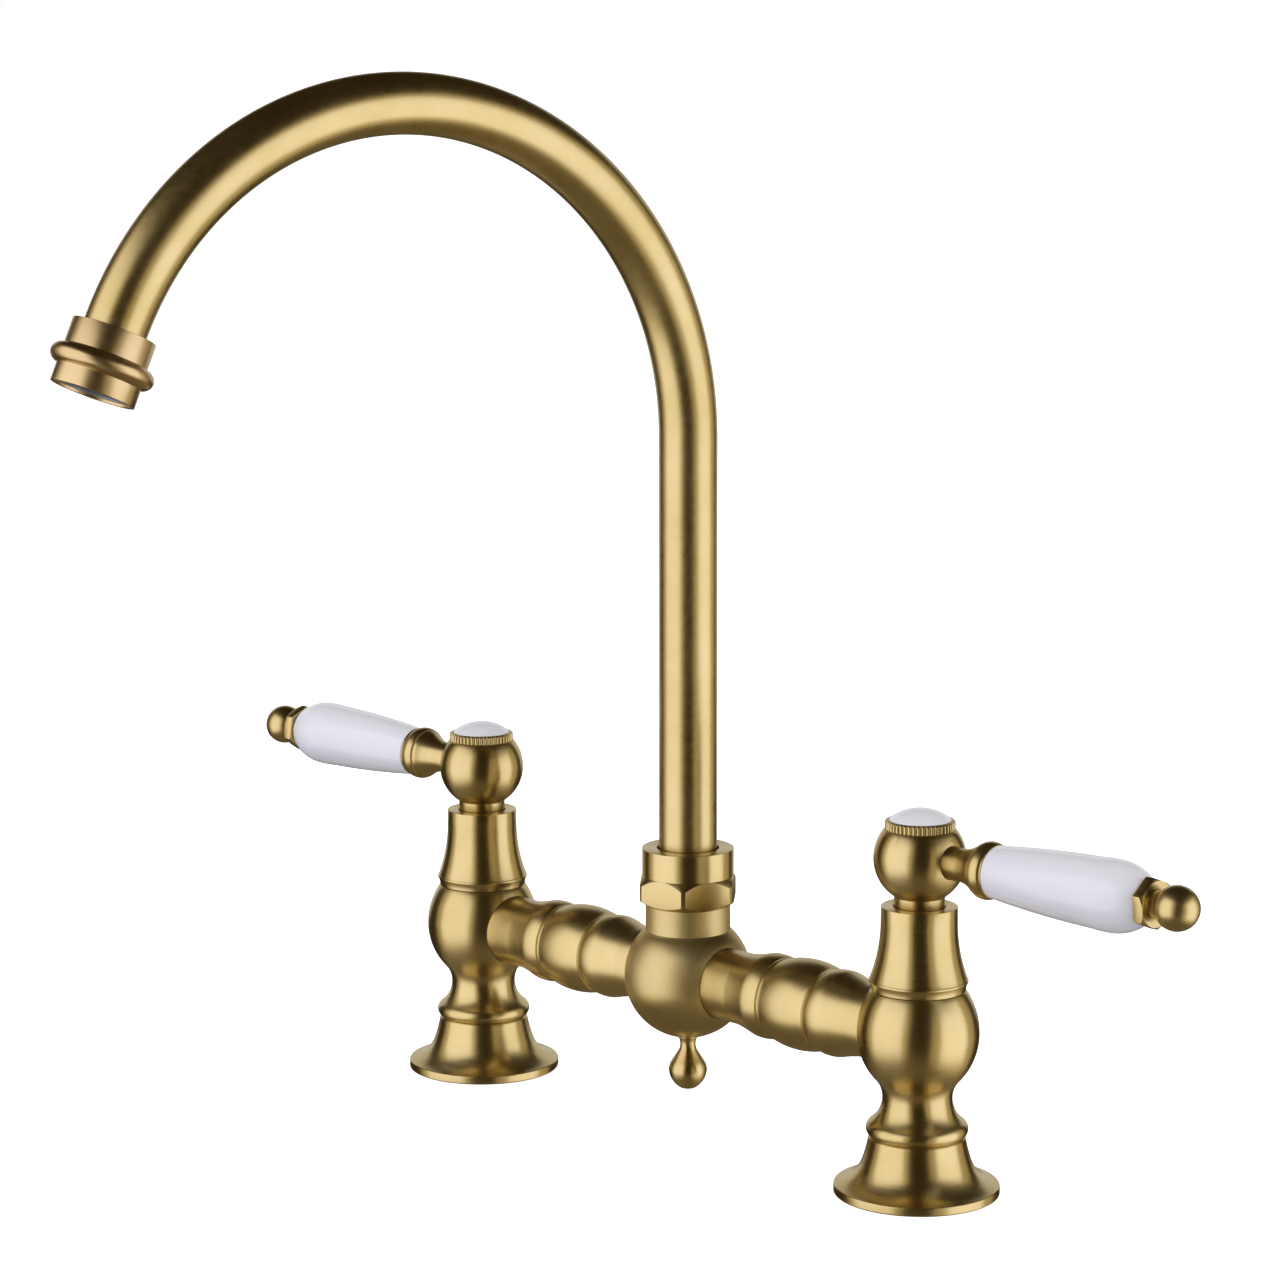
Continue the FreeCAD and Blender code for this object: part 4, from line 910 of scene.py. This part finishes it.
class FAUCET_OT_stage(Maker, bpy.types.Operator):
    """Floor, studio light and camera"""
    bl_idname = "faucet.stage"
    bl_label = "Stage"
    camera_place = Vector((0.85767, -0.85413, 0.36465))
    camera_turn = 45.86
    camera_pitch = 9.44
    camera_roll = 0.097
    camera_lens = 105.92
    aim = Vector((0, -0.05, 0.15))
    # Ray, tint and strength: white for the camera and the floor, dim for reflections.
    room = (("Is Camera Ray", (1, 1, 1), 1.0), ("Is Diffuse Ray", (1, 1, 1), 0.8),
            (None, (1.0, 0.68, 0.25), 0.03))

    def make(self):
        """Lay the floor, hang the lights and set up the camera."""
        self.floor()
        self.world()
        warm, cool = (1.0, 0.88, 0.60), (1.0, 1.11, 1.62)
        self.soft_box("LeftSoftBox", 66, 1.6, 0.30, (3.4, 3.2), 0.55, warm)
        self.soft_box("LeftHotBox", 64, 1.5, 0.30, (2.0, 2.5), 0.85, cool)
        self.soft_box("RightSoftBox", -71, 1.6, -0.08, (3.8, 3.0), 0.52, warm)
        self.soft_box("RightHotBox", -68, 1.5, -0.02, (1.6, 1.9), 0.92, cool)
        self.soft_box("BackCard", 180, 1.6, 0.35, (2.6, 1.2), 0.65, (1, 1, 1))
        self.soft_box("LowCard", 0, 0.01, -1.2, (4.0, 4.0), 0.13, (1.0, 0.85, 0.6))
        self.camera()

    def floor(self):
        """Plain pale floor that runs past the frame; the metal doesn't mirror it."""
        bm = bmesh.new()
        bmesh.ops.create_grid(bm, x_segments=1, y_segments=1, size=30)
        mesh = bpy.data.meshes.new("Floor")
        bm.to_mesh(mesh)
        bm.free()
        floor = bpy.data.objects.new("Floor", mesh)
        bpy.context.scene.collection.objects.link(floor)
        made = Recipe("PaleFloor")
        haze = made.noise(made.coordinates(), 3.0, 2.0, 0.5)
        tone = made.blend(haze, (0.93, 0.93, 0.93), (0.95, 0.95, 0.95))
        pale = made.node("ShaderNodeBsdfPrincipled", **{
            "Base Color": tone, "Roughness": 0.9, "Specular IOR Level": 0.0,
            "Emission Color": tone, "Emission Strength": 0.62})
        dim = made.node("ShaderNodeBsdfDiffuse", Color=(0.52, 0.52, 0.53))
        seen = made.node("ShaderNodeLightPath")
        mesh.materials.append(made.close(
            made.node("ShaderNodeMixShader", **{"0": seen, "1": dim, "2": pale})))
        floor.visible_glossy = False
        floor.visible_shadow = False

    def world(self):
        """Dim room in the metal's reflections, white everywhere else."""
        world = bpy.data.worlds.new("Studio")
        bpy.context.scene.world = world
        world.use_nodes = True
        tree = world.node_tree
        tree.nodes.clear()
        path = tree.nodes.new("ShaderNodeLightPath")
        socket = tree.nodes.new("ShaderNodeOutputWorld").inputs["Surface"]
        for ray, tint, strength in self.room:
            glow = tree.nodes.new("ShaderNodeBackground")
            glow.inputs["Color"].default_value = (*tint, 1)
            glow.inputs["Strength"].default_value = strength
            if not ray:
                tree.links.new(glow.outputs[0], socket)
                continue
            mix = tree.nodes.new("ShaderNodeMixShader")
            tree.links.new(path.outputs[ray], mix.inputs[0])
            tree.links.new(glow.outputs[0], mix.inputs[2])
            tree.links.new(mix.outputs[0], socket)
            socket = mix.inputs[1]

    def soft_box(self, name, around, reach, height, spread, glow, tint):
        """Soft box aimed at the faucet.

        around is in degrees from the camera, to the left; glow is the light's own
        brightness, whatever its spread.
        """
        light = bpy.data.lights.new(name, "AREA")
        light.shape = "RECTANGLE"
        light.size, light.size_y = spread
        light.energy = glow * math.pi * spread[0] * spread[1]
        light.color = tint
        item = bpy.data.objects.new(name, light)
        bpy.context.scene.collection.objects.link(item)
        item.visible_camera = False
        angle = math.radians(self.camera_turn - around)
        place = Vector((math.sin(angle) * reach, -math.cos(angle) * reach, height))
        item.location = place
        item.rotation_euler = (self.aim - place).to_track_quat("-Z", "Y").to_euler()

    def camera(self):
        """Long lens a little above the spout."""
        lens = bpy.data.cameras.new("Camera")
        lens.lens = self.camera_lens
        lens.sensor_width = 36
        lens.clip_end = 100
        camera = bpy.data.objects.new("Camera", lens)
        bpy.context.scene.collection.objects.link(camera)
        turn = math.radians(self.camera_turn)
        pitch = math.radians(self.camera_pitch)
        roll = math.radians(self.camera_roll)
        side = Vector((math.cos(turn), math.sin(turn), 0))
        ahead = Vector((-math.sin(turn) * math.cos(pitch),
                        math.cos(turn) * math.cos(pitch), -math.sin(pitch)))
        above = side.cross(ahead)
        right = side * math.cos(roll) - above * math.sin(roll)
        over = side * math.sin(roll) + above * math.cos(roll)
        stand = Matrix((right, over, -ahead)).transposed().to_4x4()
        stand.translation = self.camera_place
        camera.matrix_world = stand
        bpy.context.scene.camera = camera
        bpy.context.scene.view_settings.view_transform = "Standard"


STEPS = (FAUCET_OT_stage, FAUCET_OT_flanges, FAUCET_OT_columns, FAUCET_OT_bonnets,
         FAUCET_OT_arms, FAUCET_OT_hub, FAUCET_OT_nut, FAUCET_OT_spout, FAUCET_OT_outlet,
         FAUCET_OT_handles, FAUCET_OT_index, FAUCET_OT_levers, FAUCET_OT_inner)


class FAUCET_PT_panel(bpy.types.Panel):
    """Sidebar panel with the sizes, the finishes and every step"""
    bl_label = "Bridge Faucet"
    bl_idname = "FAUCET_PT_panel"
    bl_space_type = "VIEW_3D"
    bl_region_type = "UI"
    bl_category = "Faucet"

    def draw(self, context):
        """Lay out the sizes, the finishes and the steps."""
        for group in (context.scene.faucet_sizes, context.scene.faucet_finish):
            box = self.layout.box()
            for key in group.__annotations__:
                box.prop(group, key)
        for step in STEPS:
            self.layout.operator(step.bl_idname)


CLASSES = (FaucetSizes, FaucetFinish) + STEPS + (FAUCET_PT_panel,)


def register():
    """Register the classes and hang the properties on the scene."""
    for kind in CLASSES:
        bpy.utils.register_class(kind)
    bpy.types.Scene.faucet_sizes = bpy.props.PointerProperty(type=FaucetSizes)
    bpy.types.Scene.faucet_finish = bpy.props.PointerProperty(type=FaucetFinish)


def unregister():
    """Take the properties and the classes away again."""
    del bpy.types.Scene.faucet_finish
    del bpy.types.Scene.faucet_sizes
    for kind in reversed(CLASSES):
        bpy.utils.unregister_class(kind)


def main():
    """Register the classes and run every step in order."""
    register()
    for step in STEPS:
        group, name = step.bl_idname.split(".")
        getattr(getattr(bpy.ops, group), name)()


if __name__ == "__main__":
    main()
